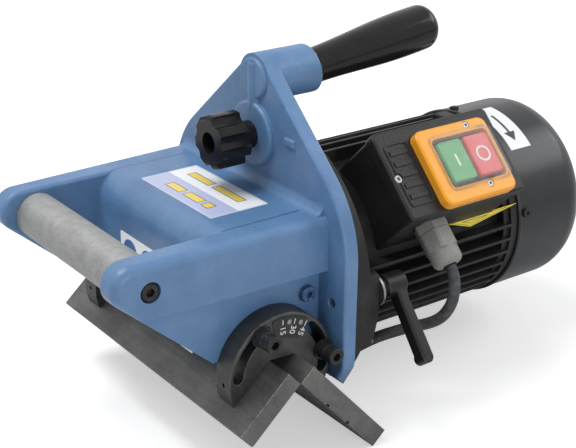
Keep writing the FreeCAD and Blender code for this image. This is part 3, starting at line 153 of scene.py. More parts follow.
class Value:
    """A number or colour that varies over a surface. Sums and products of it add Math nodes."""

    def __init__(self, finish, socket):
        self.finish = finish
        self.socket = socket

    def maths(self, operation, a, b):
        return self.finish.node("ShaderNodeMath", {"operation": operation}, {0: a, 1: b})

    def __add__(self, other):
        return self.maths("ADD", self, other)

    def __radd__(self, other):
        return self.maths("ADD", other, self)

    def __sub__(self, other):
        return self.maths("SUBTRACT", self, other)

    def __rsub__(self, other):
        return self.maths("SUBTRACT", other, self)

    def __mul__(self, other):
        return self.maths("MULTIPLY", self, other)

    def __rmul__(self, other):
        return self.maths("MULTIPLY", other, self)

    def __gt__(self, other):
        return self.maths("GREATER_THAN", self, other)

    def __lt__(self, other):
        return self.maths("LESS_THAN", self, other)


class Finish:
    """One material: node() adds a shader node, give() feeds the surface, on() puts it on CAD nodes."""

    def __init__(self, name, **surface):
        self.material = bpy.data.materials.new(name)
        self.material.use_nodes = True
        self.tree = self.material.node_tree
        self.surface = self.tree.nodes["Principled BSDF"]
        for socket, value in surface.items():
            self.surface.inputs[socket.replace("_", " ")].default_value = value
        self.place = self.node("ShaderNodeTexCoord", {}, {}, "Object")

    def node(self, kind, settings, sockets, out=0):
        made = self.tree.nodes.new(kind)
        for name, value in settings.items():
            setattr(made, name, value)
        for key, value in sockets.items():
            if isinstance(value, Value):
                self.tree.links.new(value.socket, made.inputs[key])
            else:
                made.inputs[key].default_value = value
        return Value(self, made.outputs[out])

    def noise(self, scale, detail=4.0, rough=0.55, at=None):
        return self.node("ShaderNodeTexNoise", {}, {"Vector": at or self.place, "Scale": scale,
                                                    "Detail": detail, "Roughness": rough})

    def stretched(self, scale):
        """Object coordinates scaled apart along X, Y and Z, for streaks."""
        return self.node("ShaderNodeMapping", {}, {"Vector": self.place, "Scale": scale})

    def ramp(self, value, low, high):
        return self.node("ShaderNodeMapRange", {"clamp": True}, {0: value, 1: low, 2: high})

    def colour(self, share, a, b):
        return self.node("ShaderNodeMix", {"data_type": "RGBA"}, {0: share, 6: a, 7: b}, 2)

    def axes(self):
        parts = self.node("ShaderNodeSeparateXYZ", {}, {0: self.place})
        return [Value(self, parts.socket.node.outputs[i]) for i in range(3)]

    def bump(self, height, strength, distance, over=None):
        sockets = {"Height": height, "Strength": strength, "Distance": distance}
        if over:
            sockets["Normal"] = over
        return self.node("ShaderNodeBump", {}, sockets)

    def rounded(self, radius):
        """The surface normal with its edges rounded over by radius."""
        return self.node("ShaderNodeBevel", {"samples": 4}, {"Radius": radius})

    def edges(self, normal, low, high):
        """1 on the rounded edges, 0 on the flats."""
        flat = self.node("ShaderNodeNewGeometry", {}, {}, "True Normal")
        along = self.node("ShaderNodeVectorMath", {"operation": "DOT_PRODUCT"},
                          {0: normal, 1: flat}, "Value")
        return self.ramp(1 - along, low, high)

    def give(self, **surface):
        for socket, value in surface.items():
            self.tree.links.new(value.socket, self.surface.inputs[socket.replace("_", " ")])
        return self

    def on(self, *names):
        for name in names:
            nodes[name].data.materials.clear()
            nodes[name].data.materials.append(self.material)
        return self


def grey(v):
    return (v, v, v, 1)


sheath = Finish("lead_rubber", Specular_IOR_Level=0.35)
scuff = sheath.noise(180, 5)
fine = sheath.noise(2600, 2)
rubbed_pale = sheath.ramp(scuff, 0.42, 0.72)
sheath.give(Base_Color=sheath.colour(rubbed_pale, (0.036, 0.038, 0.041, 1), (0.085, 0.088, 0.092, 1)),
            Roughness=0.5 + 0.25 * scuff,
            Normal=sheath.bump(fine, 0.12, 0.0004))
lead_mesh.materials.clear()
lead_mesh.materials.append(sheath.material)
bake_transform(mains_lead)
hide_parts("mains_cable", "cable_coil")

# ---------------------------------------------------------------- studio
# A plain white sweep under soft lamps: a large key above the front, a fill from the right and a
# weak back light that draws the edges of the black parts.
def lamp(name, place, aim, size, power):
    data = bpy.data.lights.new(name, "AREA")
    data.shape = "RECTANGLE"
    data.size, data.size_y = size
    data.energy = power
    made = bpy.data.objects.new(name, data)
    bpy.context.scene.collection.objects.link(made)
    facing = (Vector(aim) - Vector(place)).to_track_quat("-Z", "Y").to_matrix().to_4x4()
    made.matrix_world = Matrix.Translation(place) @ facing


# Each lamp's place, what it points at, its size in metres and its watts.
lamp("key", (-0.35, -0.7, 1.9), (0, 0, 0.1), (1.2, 1.0), 31)
lamp("fill", (1.7, -0.2, 0.45), (0, 0, 0.12), (0.9, 0.7), 8)
lamp("back", (0.6, 1.6, 1.3), (0, 0.1, 0.15), (1.2, 0.8), 12)

# The world looks white to the camera and in what the parts mirror or let through.
world = bpy.data.worlds.new("studio")
bpy.context.scene.world = world
world.use_nodes = True
sky = world.node_tree
background = sky.nodes["Background"]
seen = sky.nodes.new("ShaderNodeLightPath")
white = sky.nodes.new("ShaderNodeBackground")
white.inputs["Color"].default_value = grey(1.0)
white.inputs["Strength"].default_value = 1.0
background.inputs["Color"].default_value = (0.96, 0.98, 1.0, 1)
background.inputs["Strength"].default_value = 0.34
glass = sky.nodes.new("ShaderNodeMath")
glass.operation = "ADD"
sky.links.new(seen.outputs["Is Glossy Ray"], glass.inputs[0])
sky.links.new(seen.outputs["Is Transmission Ray"], glass.inputs[1])
shown = sky.nodes.new("ShaderNodeMath")
shown.operation = "ADD"
shown.use_clamp = True
sky.links.new(seen.outputs["Is Camera Ray"], shown.inputs[0])
sky.links.new(glass.outputs[0], shown.inputs[1])
which = sky.nodes.new("ShaderNodeMixShader")
sky.links.new(shown.outputs[0], which.inputs[0])
sky.links.new(background.outputs[0], which.inputs[1])
sky.links.new(white.outputs[0], which.inputs[2])
sky.links.new(which.outputs[0], sky.nodes["World Output"].inputs["Surface"])
bpy.context.scene.view_settings.view_transform = "Standard"

# The paper glows a little to the camera, so that it stays white around the soft shadow.
floor_mesh = bpy.data.meshes.new("floor")
b = bmesh.new()
bmesh.ops.create_grid(b, x_segments=1, y_segments=1, size=6)
b.to_mesh(floor_mesh)
b.free()
floor = bpy.data.objects.new("floor", floor_mesh)
bpy.context.scene.collection.objects.link(floor)
paper = Finish("sweep_paper", Roughness=0.95, Specular_IOR_Level=0.0)
tone = paper.noise(3, 2)
paper.give(Base_Color=paper.colour(tone, (0.82, 0.82, 0.82, 1), (0.86, 0.86, 0.86, 1)))
matt = Value(paper, paper.surface.outputs[0])
glow = paper.node("ShaderNodeEmission", {}, {"Strength": 0.46})
lit = paper.node("ShaderNodeAddShader", {}, {0: matt, 1: glow})
rays = paper.node("ShaderNodeLightPath", {}, {}, "Is Camera Ray")
sweep = paper.node("ShaderNodeMixShader", {}, {0: rays, 1: matt, 2: lit})
paper.tree.links.new(sweep.socket, paper.tree.nodes["Material Output"].inputs["Surface"])
floor_mesh.materials.append(paper.material)

# ---------------------------------------------------------------- frame casting
# Sand-cast aluminium in mid-blue enamel: a sloped plate, a deck with two cheeks and the boss for
# the handle. The paint is uneven over the cast skin and chipped on the edges. The two index bolts
# on the cheeks are given a darker, blotchy copy of the same enamel.
enamel = Finish("blue_enamel", Coat_Roughness=0.2, Specular_IOR_Level=0.45)
skin = enamel.noise(260, 6, 0.6)
swell = enamel.noise(38, 3)
tint = enamel.noise(14, 5, 0.6)
pits = enamel.ramp(enamel.noise(900, 2), 0.62, 0.8)
soft = enamel.rounded(0.0013)
rim = enamel.edges(soft, 0.02, 0.22)
chip = rim * enamel.ramp(enamel.noise(330, 5), 0.55, 0.62)
shade = enamel.ramp(swell * 0.5 + tint * 0.5, 0.35, 0.65)
blue = enamel.colour(shade, (0.074, 0.163, 0.318, 1), (0.106, 0.212, 0.388, 1))
# Painted highlight: every rounded edge of the casting is mixed towards a lighter blue.
edge_highlight_blue = enamel.colour(rim * 0.45, blue, (0.20, 0.33, 0.56, 1))
speckled = enamel.colour(pits * 0.4, edge_highlight_blue, (0.17, 0.29, 0.50, 1))
enamel.give(Base_Color=enamel.colour(chip * 0.6, speckled, (0.36, 0.40, 0.46, 1)),
            Roughness=0.34 + 0.16 * skin,
            Coat_Weight=enamel.ramp(swell, 0.2, 0.9) * 0.3,
            Normal=enamel.bump(skin * 0.6 + swell * 1.6 - pits * 0.15, 0.42, 0.0014, soft))
enamel.on("frame_casting")
dark_bolt_enamel = Finish("dark_blotchy_enamel", Specular_IOR_Level=0.4)
# The bolts are painted darker than the casting's enamel, in blotches.
blotch = dark_bolt_enamel.ramp(dark_bolt_enamel.noise(420, 5), 0.4, 0.6)
dark_bolt_enamel.give(Base_Color=dark_bolt_enamel.colour(blotch, (0.030, 0.062, 0.115, 1), (0.075, 0.160, 0.320, 1)),
           Roughness=0.4 + 0.25 * blotch,
           Normal=dark_bolt_enamel.bump(blotch, 0.2, 0.0005))
dark_bolt_enamel.on("index_bolts")

# ---------------------------------------------------------------- grip
# A plain steel tube between the cheeks, mottled grey from its zinc coat, on black bushes with a
# socket screw at each end.
zinc = Finish("mottled_zinc")
cloud = zinc.noise(130, 7, 0.72)
speck = zinc.noise(700, 4, 0.7)
bloom = zinc.ramp(cloud * 0.55 + speck * 0.45, 0.34, 0.66)
zinc.give(Base_Color=zinc.colour(bloom, (0.21, 0.213, 0.21, 1), (0.37, 0.375, 0.37, 1)),
          Metallic=zinc.ramp(cloud, 0.3, 0.7) * 0.3 + 0.35,
          Roughness=0.42 + 0.3 * speck,
          Normal=zinc.bump(speck, 0.25, 0.0004))
zinc.on("grip_tube")

# ---------------------------------------------------------------- blackened screws
# Steel in black oxide, rubbed lighter in places: the screws of the grip, guide, ring, motor, cowl
# and cutter, the slotted screw of the lever, the clamp stud and the guide's washers.
oxide = Finish("black_oxide", Specular_IOR_Level=0.3)
rub = oxide.noise(500, 5)
oxide.give(Base_Color=oxide.colour(oxide.ramp(rub, 0.5, 0.75), grey(0.018), grey(0.06)),
           Metallic=oxide.ramp(rub, 0.3, 0.8) * 0.3 + 0.2,
           Roughness=0.32 + 0.25 * rub)
oxide.on("grip_screws", "guide_screws", "guide_clamp_screws", "lever_screw", "tie_screws", "cowl_screws",
         "insert_screws", "cutter_bolt", "ring_screws", "guide_washers", "clamp_stud")

# ---------------------------------------------------------------- handle and star knob
# A turned machine handle in black phenolic, waxed smooth, on a steel stud in the boss. The star
# knob is moulded in the same phenolic around the screw that locks the eccentric ring.
phenolic = Finish("black_phenolic", Specular_IOR_Level=0.24)
smear = phenolic.noise(60, 5)
wax = phenolic.noise(900, 4)
phenolic.give(Base_Color=phenolic.colour(smear, grey(0.006), grey(0.013)),
              Roughness=0.07 + 0.14 * smear + 0.05 * wax,
              Normal=phenolic.bump(phenolic.noise(420, 3), 0.05, 0.0006))
phenolic.on("top_handle", "depth_knob")

# ---------------------------------------------------------------- clamp lever
# A die-cast adjustable lever in black powder paint, which has chipped to bare metal on its edges.
# Its serrated hub is held on the clamp stud by a slotted screw.
lever_paint = Finish("lever_paint", Specular_IOR_Level=0.3)
knocks = lever_paint.noise(240, 5)
lever_soft = lever_paint.rounded(0.0009)
bare = lever_paint.edges(lever_soft, 0.03, 0.25) * lever_paint.ramp(knocks, 0.5, 0.6)
lever_paint.give(Base_Color=lever_paint.colour(bare, grey(0.010), grey(0.16)),
                 Metallic=bare * 0.7,
                 Roughness=0.24 + 0.2 * knocks,
                 Normal=lever_paint.bump(lever_paint.noise(800, 3), 0.12, 0.0004, lever_soft))
lever_paint.on("clamp_lever")

# ---------------------------------------------------------------- bright steel parts
# Turned and ground steel left bare: the handle's stud, the knob's screw, the lever's washer, the
# stop pin, the rivets, the box's screws, the motor shaft and its ball bearings.
bright = Finish("bright_steel", Metallic=1.0)
turning = bright.noise(900, 4)
bright.give(Base_Color=bright.colour(turning, grey(0.17), grey(0.34)),
            Roughness=0.26 + 0.2 * turning)
bright.on("handle_stud", "knob_stud", "clamp_washer", "stop_pin", "scale_rivets", "box_screws",
          "motor_shaft", "bearing_outer_rings", "bearing_inner_rings", "bearing_balls")

# ---------------------------------------------------------------- V guide
# Two ground steel plates screwed to half-round ends. All four are phosphated, the ends darker,
# and a noisy share of their edges is painted lighter grey, partly rubbed bright where work and
# hands touch them and partly a painted highlight.
for name, low, high, worn_and_highlit_grey, covered in (
        ("phosphated_steel", (0.066, 0.067, 0.066, 1), (0.150, 0.149, 0.144, 1), grey(0.40),
         ("guide_plate_front", "guide_plate_rear")),
        ("phosphated_ends", (0.030, 0.031, 0.030, 1), (0.080, 0.080, 0.077, 1), grey(0.30),
         ("end_plate_right", "end_plate_left"))):
    phosphate = Finish(name)
    grain = phosphate.noise(420, 6, 0.62)
    drift = phosphate.noise(26, 4)
    streak = phosphate.noise(1.0, 4, 0.6, phosphate.stretched((18, 240, 240)))
    steel_soft = phosphate.rounded(0.0008)
    edge_band = phosphate.edges(steel_soft, 0.03, 0.28)
    tone = phosphate.ramp(drift * 0.45 + grain * 0.35 + streak * 0.2, 0.36, 0.62)
    skin_tone = phosphate.colour(tone, low, high)
    # Edge colour: partly wear rubbed bright, partly a painted highlight on the rounded edges.
    worn_and_highlit_edges = edge_band * phosphate.ramp(grain, 0.35, 0.6)
    phosphate.give(Base_Color=phosphate.colour(worn_and_highlit_edges, skin_tone, worn_and_highlit_grey),
                   Metallic=phosphate.ramp(grain, 0.3, 0.7) * 0.25 + 0.45 + edge_band * 0.25,
                   Roughness=0.34 + 0.24 * grain - edge_band * 0.1,
                   Normal=phosphate.bump(grain * 0.7 + streak * 0.3, 0.2, 0.0005, steel_soft))
    phosphate.on(*covered)

# ---------------------------------------------------------------- angle scales
# Black anodised segments riveted to the end plates. Their marks for 15, 30 and 45 degrees are
# engraved and filled with white.
anodised = Finish("black_anodised", Metallic=0.2)
worn = anodised.noise(600, 4)
anodised.give(Base_Color=anodised.colour(anodised.ramp(worn, 0.5, 0.8), grey(0.012), grey(0.04)),
              Roughness=0.35 + 0.2 * worn)
anodised.on("angle_scales")
tilt_axis = Vector((-0.0096, -0.1080, 0.07601))
scale_face = 0.1037
mark_out = 0.0396
mark_in = 0.0356
mark_wide = 0.0006
digit_high = 0.0068
digit_gap = 0.0009
fill_thick = 0.00015
fill_proud = 0.00002
marks = (("45", 57.0), ("30", 73.0), ("15", 89.0))
white_fill = Finish("white_fill", Roughness=0.55)
chalk = white_fill.noise(1500, 3)
white_fill.give(Base_Color=white_fill.colour(chalk, grey(0.62), grey(0.85)))
for side, name in ((1, "scale_marks_right"), (-1, "scale_marks_left")):
    b = bmesh.new()
    for text, degrees in marks:
        a = math.radians(degrees)
        out = Vector((0, math.cos(a), math.sin(a)))
        normal = Vector((side, 0, 0))
        along = -out
        up = normal.cross(along)
        stand = tilt_axis + normal * (scale_face + fill_proud)
        upright = Matrix((along, up, normal)).transposed().to_4x4()
        line = bmesh.ops.create_grid(b, x_segments=1, y_segments=1, size=0.5)["verts"]
        bmesh.ops.scale(b, vec=(mark_out - mark_in, mark_wide, 1), verts=line)
        middle = Matrix.Translation(stand + out * (mark_out + mark_in) / 2)
        bmesh.ops.transform(b, matrix=middle @ upright, verts=line)
        words = bpy.data.curves.new("digits", "FONT")
        words.body = text
        words.size = digit_high
        words.align_y = "CENTER"
        digits = bpy.data.objects.new("digits", words)
        bpy.context.scene.collection.objects.link(digits)
        bpy.context.view_layer.update()
        flat = bpy.data.meshes.new_from_object(digits)
        flat.transform(Matrix.Translation(stand + out * (mark_in - digit_gap)) @ upright)
        b.from_mesh(flat)
        bpy.data.objects.remove(digits)
    for corner in bmesh.ops.extrude_face_region(b, geom=b.faces[:])["geom"]:
        if isinstance(corner, bmesh.types.BMVert):
            corner.co.x -= side * fill_thick
    bmesh.ops.recalc_face_normals(b, faces=b.faces[:])
    mesh = bpy.data.meshes.new(name)
    b.to_mesh(mesh)
    b.free()
    mesh.materials.append(white_fill.material)
    piece = bpy.data.objects.new(name, mesh)
    bpy.context.scene.collection.objects.link(piece)
    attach(piece, "guide")

# ---------------------------------------------------------------- eccentric ring and motor
# Die-cast aluminium in black enamel: the depth ring, the motor flange, the finned housing and the
# rear shield. The fins are matt between; a noisy share of their tips is painted lighter grey,
# partly rubbed satin and partly a painted highlight.
black = Finish("black_enamel", Specular_IOR_Level=0.26)
cast = black.noise(700, 5, 0.6)
dust = black.noise(45, 4)
black_soft = black.rounded(0.0008)
tips = black.edges(black_soft, 0.03, 0.3)
# Painted highlight mixed with wear: a noisy share of the rounded edges is painted lighter grey.
rubbed_and_highlit_tip = tips * black.ramp(cast, 0.42, 0.58)
dusty = black.colour(black.ramp(dust, 0.45, 0.8), grey(0.009), grey(0.028))
black.give(Base_Color=black.colour(rubbed_and_highlit_tip * 0.8, dusty, grey(0.11)),
           Metallic=rubbed_and_highlit_tip * 0.4,
           Roughness=0.32 + 0.22 * cast,
           Normal=black.bump(cast, 0.24, 0.0005, black_soft))
black.on("eccentric_ring", "motor_flange", "motor_housing", "rear_shield")

# ---------------------------------------------------------------- fan cowl
# A pressed sheet cowl over the fan, in satin charcoal paint, held by four small screws.
charcoal = Finish("charcoal_paint", Specular_IOR_Level=0.3, Coat_Roughness=0.2)
peel = charcoal.noise(1400, 3)
haze = charcoal.noise(30, 3)
scratch = charcoal.ramp(charcoal.noise(1.0, 6, 0.7, charcoal.stretched((420, 90, 420))), 0.66, 0.72)
cowl_soft = charcoal.rounded(0.0008)
# Painted highlight: the cowl's rounded rims are mixed towards light grey, broken up by noise.
painted_rim_highlight = charcoal.edges(cowl_soft, 0.04, 0.3) * charcoal.ramp(peel, 0.4, 0.6)
paint = charcoal.colour(haze, (0.014, 0.015, 0.017, 1), (0.028, 0.030, 0.034, 1))
charcoal.give(Base_Color=charcoal.colour(scratch * 0.25 + painted_rim_highlight * 0.5, paint, (0.18, 0.185, 0.19, 1)),
              Metallic=haze * 0.35,
              Roughness=0.27 + 0.12 * peel,
              Coat_Weight=haze * 0.25,
              Normal=charcoal.bump(peel, 0.12, 0.0003, cowl_soft))
charcoal.on("fan_cowl")

# ---------------------------------------------------------------- inside the motor
# Cores of stacked steel laminations, pressed into the housing and onto the shaft, and windings of
# enamelled copper wire.
laminate = Finish("core_laminations", Metallic=0.8)
stack = laminate.node("ShaderNodeTexWave", {"bands_direction": "Y"},
                      {"Vector": laminate.place, "Scale": 320.0, "Distortion": 0.2})
laminate.give(Base_Color=laminate.colour(stack, grey(0.16), grey(0.34)),
              Roughness=0.35 + 0.2 * laminate.noise(300))
laminate.on("stator_core", "rotor_core")
copper = Finish("enamelled_copper", Metallic=0.9)
wires = copper.node("ShaderNodeTexWave", {"wave_type": "RINGS", "rings_direction": "Y"},
                    {"Vector": copper.place, "Scale": 260.0, "Distortion": 1.5})
copper.give(Base_Color=copper.colour(wires, (0.28, 0.09, 0.03, 1), (0.66, 0.27, 0.10, 1)),
            Roughness=0.3 + 0.2 * wires,
            Normal=copper.bump(wires, 0.4, 0.0006))
copper.on("stator_winding")

# ---------------------------------------------------------------- cutter
# A nickelled steel body with five square coated carbide inserts, each held by one screw.
nickel = Finish("nickelled_steel", Metallic=1.0)
swirl = nickel.noise(350, 5)
nickel.give(Base_Color=nickel.colour(swirl, (0.30, 0.295, 0.28, 1), (0.46, 0.45, 0.43, 1)),
            Roughness=0.26 + 0.2 * swirl)
nickel.on("cutter_body")
carbide = Finish("coated_carbide", Metallic=0.85)
sinter = carbide.noise(1800, 4)
carbide.give(Base_Color=carbide.colour(sinter, (0.50, 0.36, 0.10, 1), (0.68, 0.52, 0.18, 1)),
             Roughness=0.28 + 0.25 * sinter)
carbide.on("cutter_inserts")

# ---------------------------------------------------------------- switch box
# Moulded black plastic with a fine grain: the box, its lid and what is in it, the grip's bushes
# and the fan. The lid is screwed down on a rubber gasket.
moulded = Finish("grained_plastic", Specular_IOR_Level=0.26)
pores = moulded.node("ShaderNodeTexVoronoi", {}, {"Vector": moulded.place, "Scale": 900.0}, "Distance")
wipe = moulded.noise(55, 4)
box_soft = moulded.rounded(0.0007)
# Painted highlight: the rounded edges of the moulded parts are mixed towards a lighter grey.
box_edge_highlight = moulded.edges(box_soft, 0.03, 0.3)
moulded.give(Base_Color=moulded.colour(wipe * 0.5 + box_edge_highlight * 0.6, grey(0.007), grey(0.036)),
             Roughness=0.30 + 0.2 * wipe - box_edge_highlight * 0.08,
             Normal=moulded.bump(pores, 0.34, 0.0006, box_soft))
moulded.on("switch_box", "box_lid", "grip_bushes", "cooling_fan", "switch_module", "run_capacitor")
gasket = Finish("gasket_rubber", Specular_IOR_Level=0.2)
gasket.give(Base_Color=gasket.colour(gasket.noise(500), grey(0.012), grey(0.03)),
            Roughness=0.7 + 0.2 * gasket.noise(900))
gasket.on("lid_gasket", "gland_seal")

# ---------------------------------------------------------------- switch
# An orange bezel around a green and a red button, under a clear soft cover that keeps dust out.
orange = Finish("orange_plastic", Specular_IOR_Level=0.5)
flow = orange.noise(90, 3)
orange.give(Base_Color=orange.colour(flow, (0.76, 0.30, 0.014, 1), (0.84, 0.36, 0.022, 1)),
            Roughness=0.28 + 0.15 * flow,
            Normal=orange.bump(orange.noise(1500, 2), 0.05, 0.0003, orange.rounded(0.0006)))
orange.on("switch_bezel")
green = Finish("green_plastic", Specular_IOR_Level=0.5)
green.give(Base_Color=green.colour(green.noise(120, 3), (0.030, 0.27, 0.075, 1), (0.05, 0.36, 0.11, 1)),
           Roughness=0.3 + 0.1 * green.noise(800))
green.on("start_button")
red = Finish("red_plastic", Specular_IOR_Level=0.5)
red.give(Base_Color=red.colour(red.noise(120, 3), (0.60, 0.045, 0.045, 1), (0.72, 0.075, 0.070, 1)),
         Roughness=0.3 + 0.1 * red.noise(800))
red.on("stop_button")
film = Finish("clear_film", IOR=1.45, Specular_IOR_Level=0.6)
cloudy = film.noise(70, 4)
film.give(Base_Color=film.colour(cloudy, grey(0.55), grey(0.75)),
          Alpha=0.05 + 0.10 * cloudy,
          Roughness=0.12 + 0.2 * cloudy)
film.on("switch_cover")

# ---------------------------------------------------------------- button marks
# Pale marks printed on the buttons: a bar on start and a ring on stop. They are placed in the
# switch box's own axes, which are turned 45 degrees about the motor's.
motor_origin = Vector((-0.0096, -0.0630, 0.11151))
box_axes = Matrix.Translation(motor_origin) @ Matrix.Rotation(math.radians(45), 4, "Y")
button_top = 0.1207
button_across = 0.0045
ink_thick = 0.00016
ring_in, ring_out = 0.0050, 0.0066
ink = Finish("pale_ink", Roughness=0.5)
ink.give(Base_Color=ink.colour(ink.noise(900, 3), grey(0.70), grey(0.85)))
for name, body, y in (("start_mark", "start_button", 0.12875), ("stop_mark", "stop_button", 0.15525)):
    b = bmesh.new()
    if body == "start_button":
        bmesh.ops.create_cube(b, size=1)
        bmesh.ops.scale(b, vec=(0.010, 0.0018, ink_thick), verts=b.verts[:])
    else:
        half = ink_thick / 2
        corners = [b.verts.new(c) for c in ((ring_in, 0, -half), (ring_out, 0, -half),
                                            (ring_out, 0, half), (ring_in, 0, half))]
        loop = [b.edges.new((corners[i], corners[(i + 1) % 4])) for i in range(4)]
        bmesh.ops.spin(b, geom=corners + loop, cent=(0, 0, 0), axis=(0, 0, 1),
                       angle=math.tau, steps=40, use_merge=True)
        bmesh.ops.recalc_face_normals(b, faces=b.faces[:])
    stand = Matrix.Translation((button_across, y, button_top + ink_thick / 2))
    bmesh.ops.transform(b, matrix=box_axes @ stand, verts=b.verts[:])
    mesh = bpy.data.meshes.new(name)
    b.to_mesh(mesh)
    b.free()
    mesh.materials.append(ink.material)
    piece = bpy.data.objects.new(name, mesh)
    bpy.context.scene.collection.objects.link(piece)
    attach(piece, body)

# ---------------------------------------------------------------- cable gland
# A light grey nylon gland through the wall of the switch box: hexagon collar, cap nut and domed
# end, which grips the lead on a rubber seal.
nylon = Finish("grey_nylon", Specular_IOR_Level=0.4)
chips = nylon.noise(1100, 4, 0.7)
mottle = nylon.ramp(chips, 0.35, 0.65)
nylon.give(Base_Color=nylon.colour(mottle, (0.17, 0.17, 0.155, 1), (0.27, 0.27, 0.25, 1)),
           Roughness=0.45 + 0.2 * chips,
           Normal=nylon.bump(chips, 0.1, 0.0003))
nylon.on("gland_body", "gland_nut")

# ---------------------------------------------------------------- plug
# A black rubber plug moulded onto the end of the lead, with two nickelled pins that point
# towards -X.
plug_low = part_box("mains_plug")[0]
pin_long = 0.0185
plug = Finish("moulded_plug", Specular_IOR_Level=0.35)
pin = plug.axes()[0] < plug_low.x + pin_long
plug.give(Base_Color=plug.colour(pin, grey(0.022), grey(0.55)),
          Metallic=pin * 0.95,
          Roughness=0.6 - pin * 0.35,
          Normal=plug.bump(plug.noise(700, 3), 0.1, 0.0004))
plug.on("mains_plug")


# ---------------------------------------------------------------- deck label
# A printed film stuck to the deck's paint: white above, lavender below, with a pale rim and plain
# yellow bars edged in black.
film_thick = 0.00016


def sticker(name, body, mesh_work, finish, place):
    """A piece of film that rides a body: mesh_work draws it at the origin and place sets it down."""
    b = bmesh.new()
    mesh_work(b)
    bmesh.ops.recalc_face_normals(b, faces=b.faces[:])
    bmesh.ops.transform(b, matrix=place, verts=b.verts[:])
    mesh = bpy.data.meshes.new(name)
    b.to_mesh(mesh)
    b.free()
    mesh.materials.append(finish.material)
    piece = bpy.data.objects.new(name, mesh)
    bpy.context.scene.collection.objects.link(piece)
    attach(piece, body)
    return piece


def film_block(width, height):
    """A flat film with its four upright corners rounded."""
    def work(b):
        bmesh.ops.create_cube(b, size=1)
        bmesh.ops.scale(b, vec=(width, height, film_thick), verts=b.verts[:])
        sides = [e for e in b.edges if abs(e.verts[0].co.z - e.verts[1].co.z) > film_thick / 2]
        bmesh.ops.bevel(b, geom=sides, offset=0.0012, affect="EDGES", segments=3, profile=0.5, material=-1)
    return work


plate_wide, plate_high = 0.0950, 0.0495
plate_middle = Vector((-0.0071, -0.10675, 0.17953))
deck_film = Finish("deck_label_print", Specular_IOR_Level=0.5, Coat_Weight=0.3, Coat_Roughness=0.2)
x, y, z = deck_film.axes()
lower = y < plate_middle.y - 0.0005
crease = deck_film.noise(140, 3)
bar_edge = 0.0008
bars = None
for across, along, half_x, half_y in ((-0.0205, 0.0120, 0.0145, 0.0040), (0.0160, 0.0120, 0.0175, 0.0040),
                                      (-0.0170, -0.0125, 0.0100, 0.0042),
                                      (0.0075, -0.0125, 0.0105, 0.0042),
                                      (0.0260, -0.0125, 0.0048, 0.0042)):
    off = x - (plate_middle.x + across)
    away = y - (plate_middle.y + along)
    bar = (off * off < half_x ** 2) * (away * away < half_y ** 2)
    fill = (off * off < (half_x - bar_edge) ** 2) * (away * away < (half_y - bar_edge) ** 2)
    bars = (bar, fill) if bars is None else (bars[0] + bar, bars[1] + fill)
crease_fine = deck_film.noise(600, 3)
film_base = deck_film.colour(lower, (0.86, 0.87, 0.90, 1), (0.46, 0.50, 0.72, 1))
film_edge = deck_film.colour(bars[0], film_base, (0.05, 0.05, 0.06, 1))
film_bar = deck_film.colour(bars[1], film_edge, (0.86, 0.62, 0.06, 1))
rim_wide = 0.0018
rim_x = x - plate_middle.x
rim_y = y - plate_middle.y
at_end = rim_x * rim_x > (plate_wide / 2 - rim_wide) ** 2
at_side = rim_y * rim_y > (plate_high / 2 - rim_wide) ** 2
border = at_end + at_side > 0.5
film_rim = deck_film.colour(border * 0.55, film_bar, (0.58, 0.63, 0.75, 1))
deck_film.give(Base_Color=deck_film.colour(crease_fine * 0.12, film_rim, (0.50, 0.52, 0.58, 1)),
               Roughness=0.3 + 0.2 * crease)
sticker("deck_label", "frame", film_block(plate_wide, plate_high), deck_film,
        Matrix.Translation(plate_middle))

# ---------------------------------------------------------------- wall sign
# A white film on the front wall under the deck, with two plain blue discs that each have a white
# centre.
sign_middle = Vector((-0.0200, -0.1551, 0.1335))
sign_film = Finish("sign_print", Specular_IOR_Level=0.5)
x, y, z = sign_film.axes()
discs = None
disc_apart = 0.025
# The radii of a disc and of its white centre, squared, in square millimetres.
disc_edge, centre_edge = 90.0, 7.0
for across in (-disc_apart / 2, disc_apart / 2):
    dx = (x - (sign_middle.x + across)) * 1000
    dz = (z - sign_middle.z) * 1000
    apart = dx * dx + dz * dz
    disc = (apart < disc_edge) - (apart < centre_edge)
    discs = disc if discs is None else discs + disc
sign_film.give(Base_Color=sign_film.colour(discs, (0.84, 0.86, 0.88, 1), (0.03, 0.11, 0.36, 1)),
               Roughness=0.35 + 0.2 * sign_film.noise(200))
sticker("wall_sign", "frame", film_block(0.052, 0.026), sign_film,
        Matrix.Translation(sign_middle) @ Matrix.Rotation(math.radians(90), 4, "X"))


# ---------------------------------------------------------------- turning arrow
# A white film wrapped round the cowl, with a black arrow for the way the motor turns.
# Its places are angles about the motor axis, from +X upwards.
def bent_film(y0, y1, low, high, radius):
    """A strip of film bent round the motor axis between two angles."""
    def work(b):
        outside = radius + bent_thick
        lines = [(radius, y0), (radius, y1), (outside, y1), (outside, y0)]
        a = math.radians(high)
        corners = [b.verts.new((motor_origin.x + r * math.cos(a), y, motor_origin.z + r * math.sin(a)))
                   for r, y in lines]
        loop = [b.edges.new((corners[i], corners[(i + 1) % 4])) for i in range(4)]
        start = b.faces.new(corners)
        bmesh.ops.spin(b, geom=corners + loop + [start], cent=(motor_origin.x, 0, motor_origin.z),
                       axis=(0, 1, 0), angle=math.radians(high - low), steps=24)
        bmesh.ops.remove_doubles(b, verts=b.verts[:], dist=0.000001)
    return work


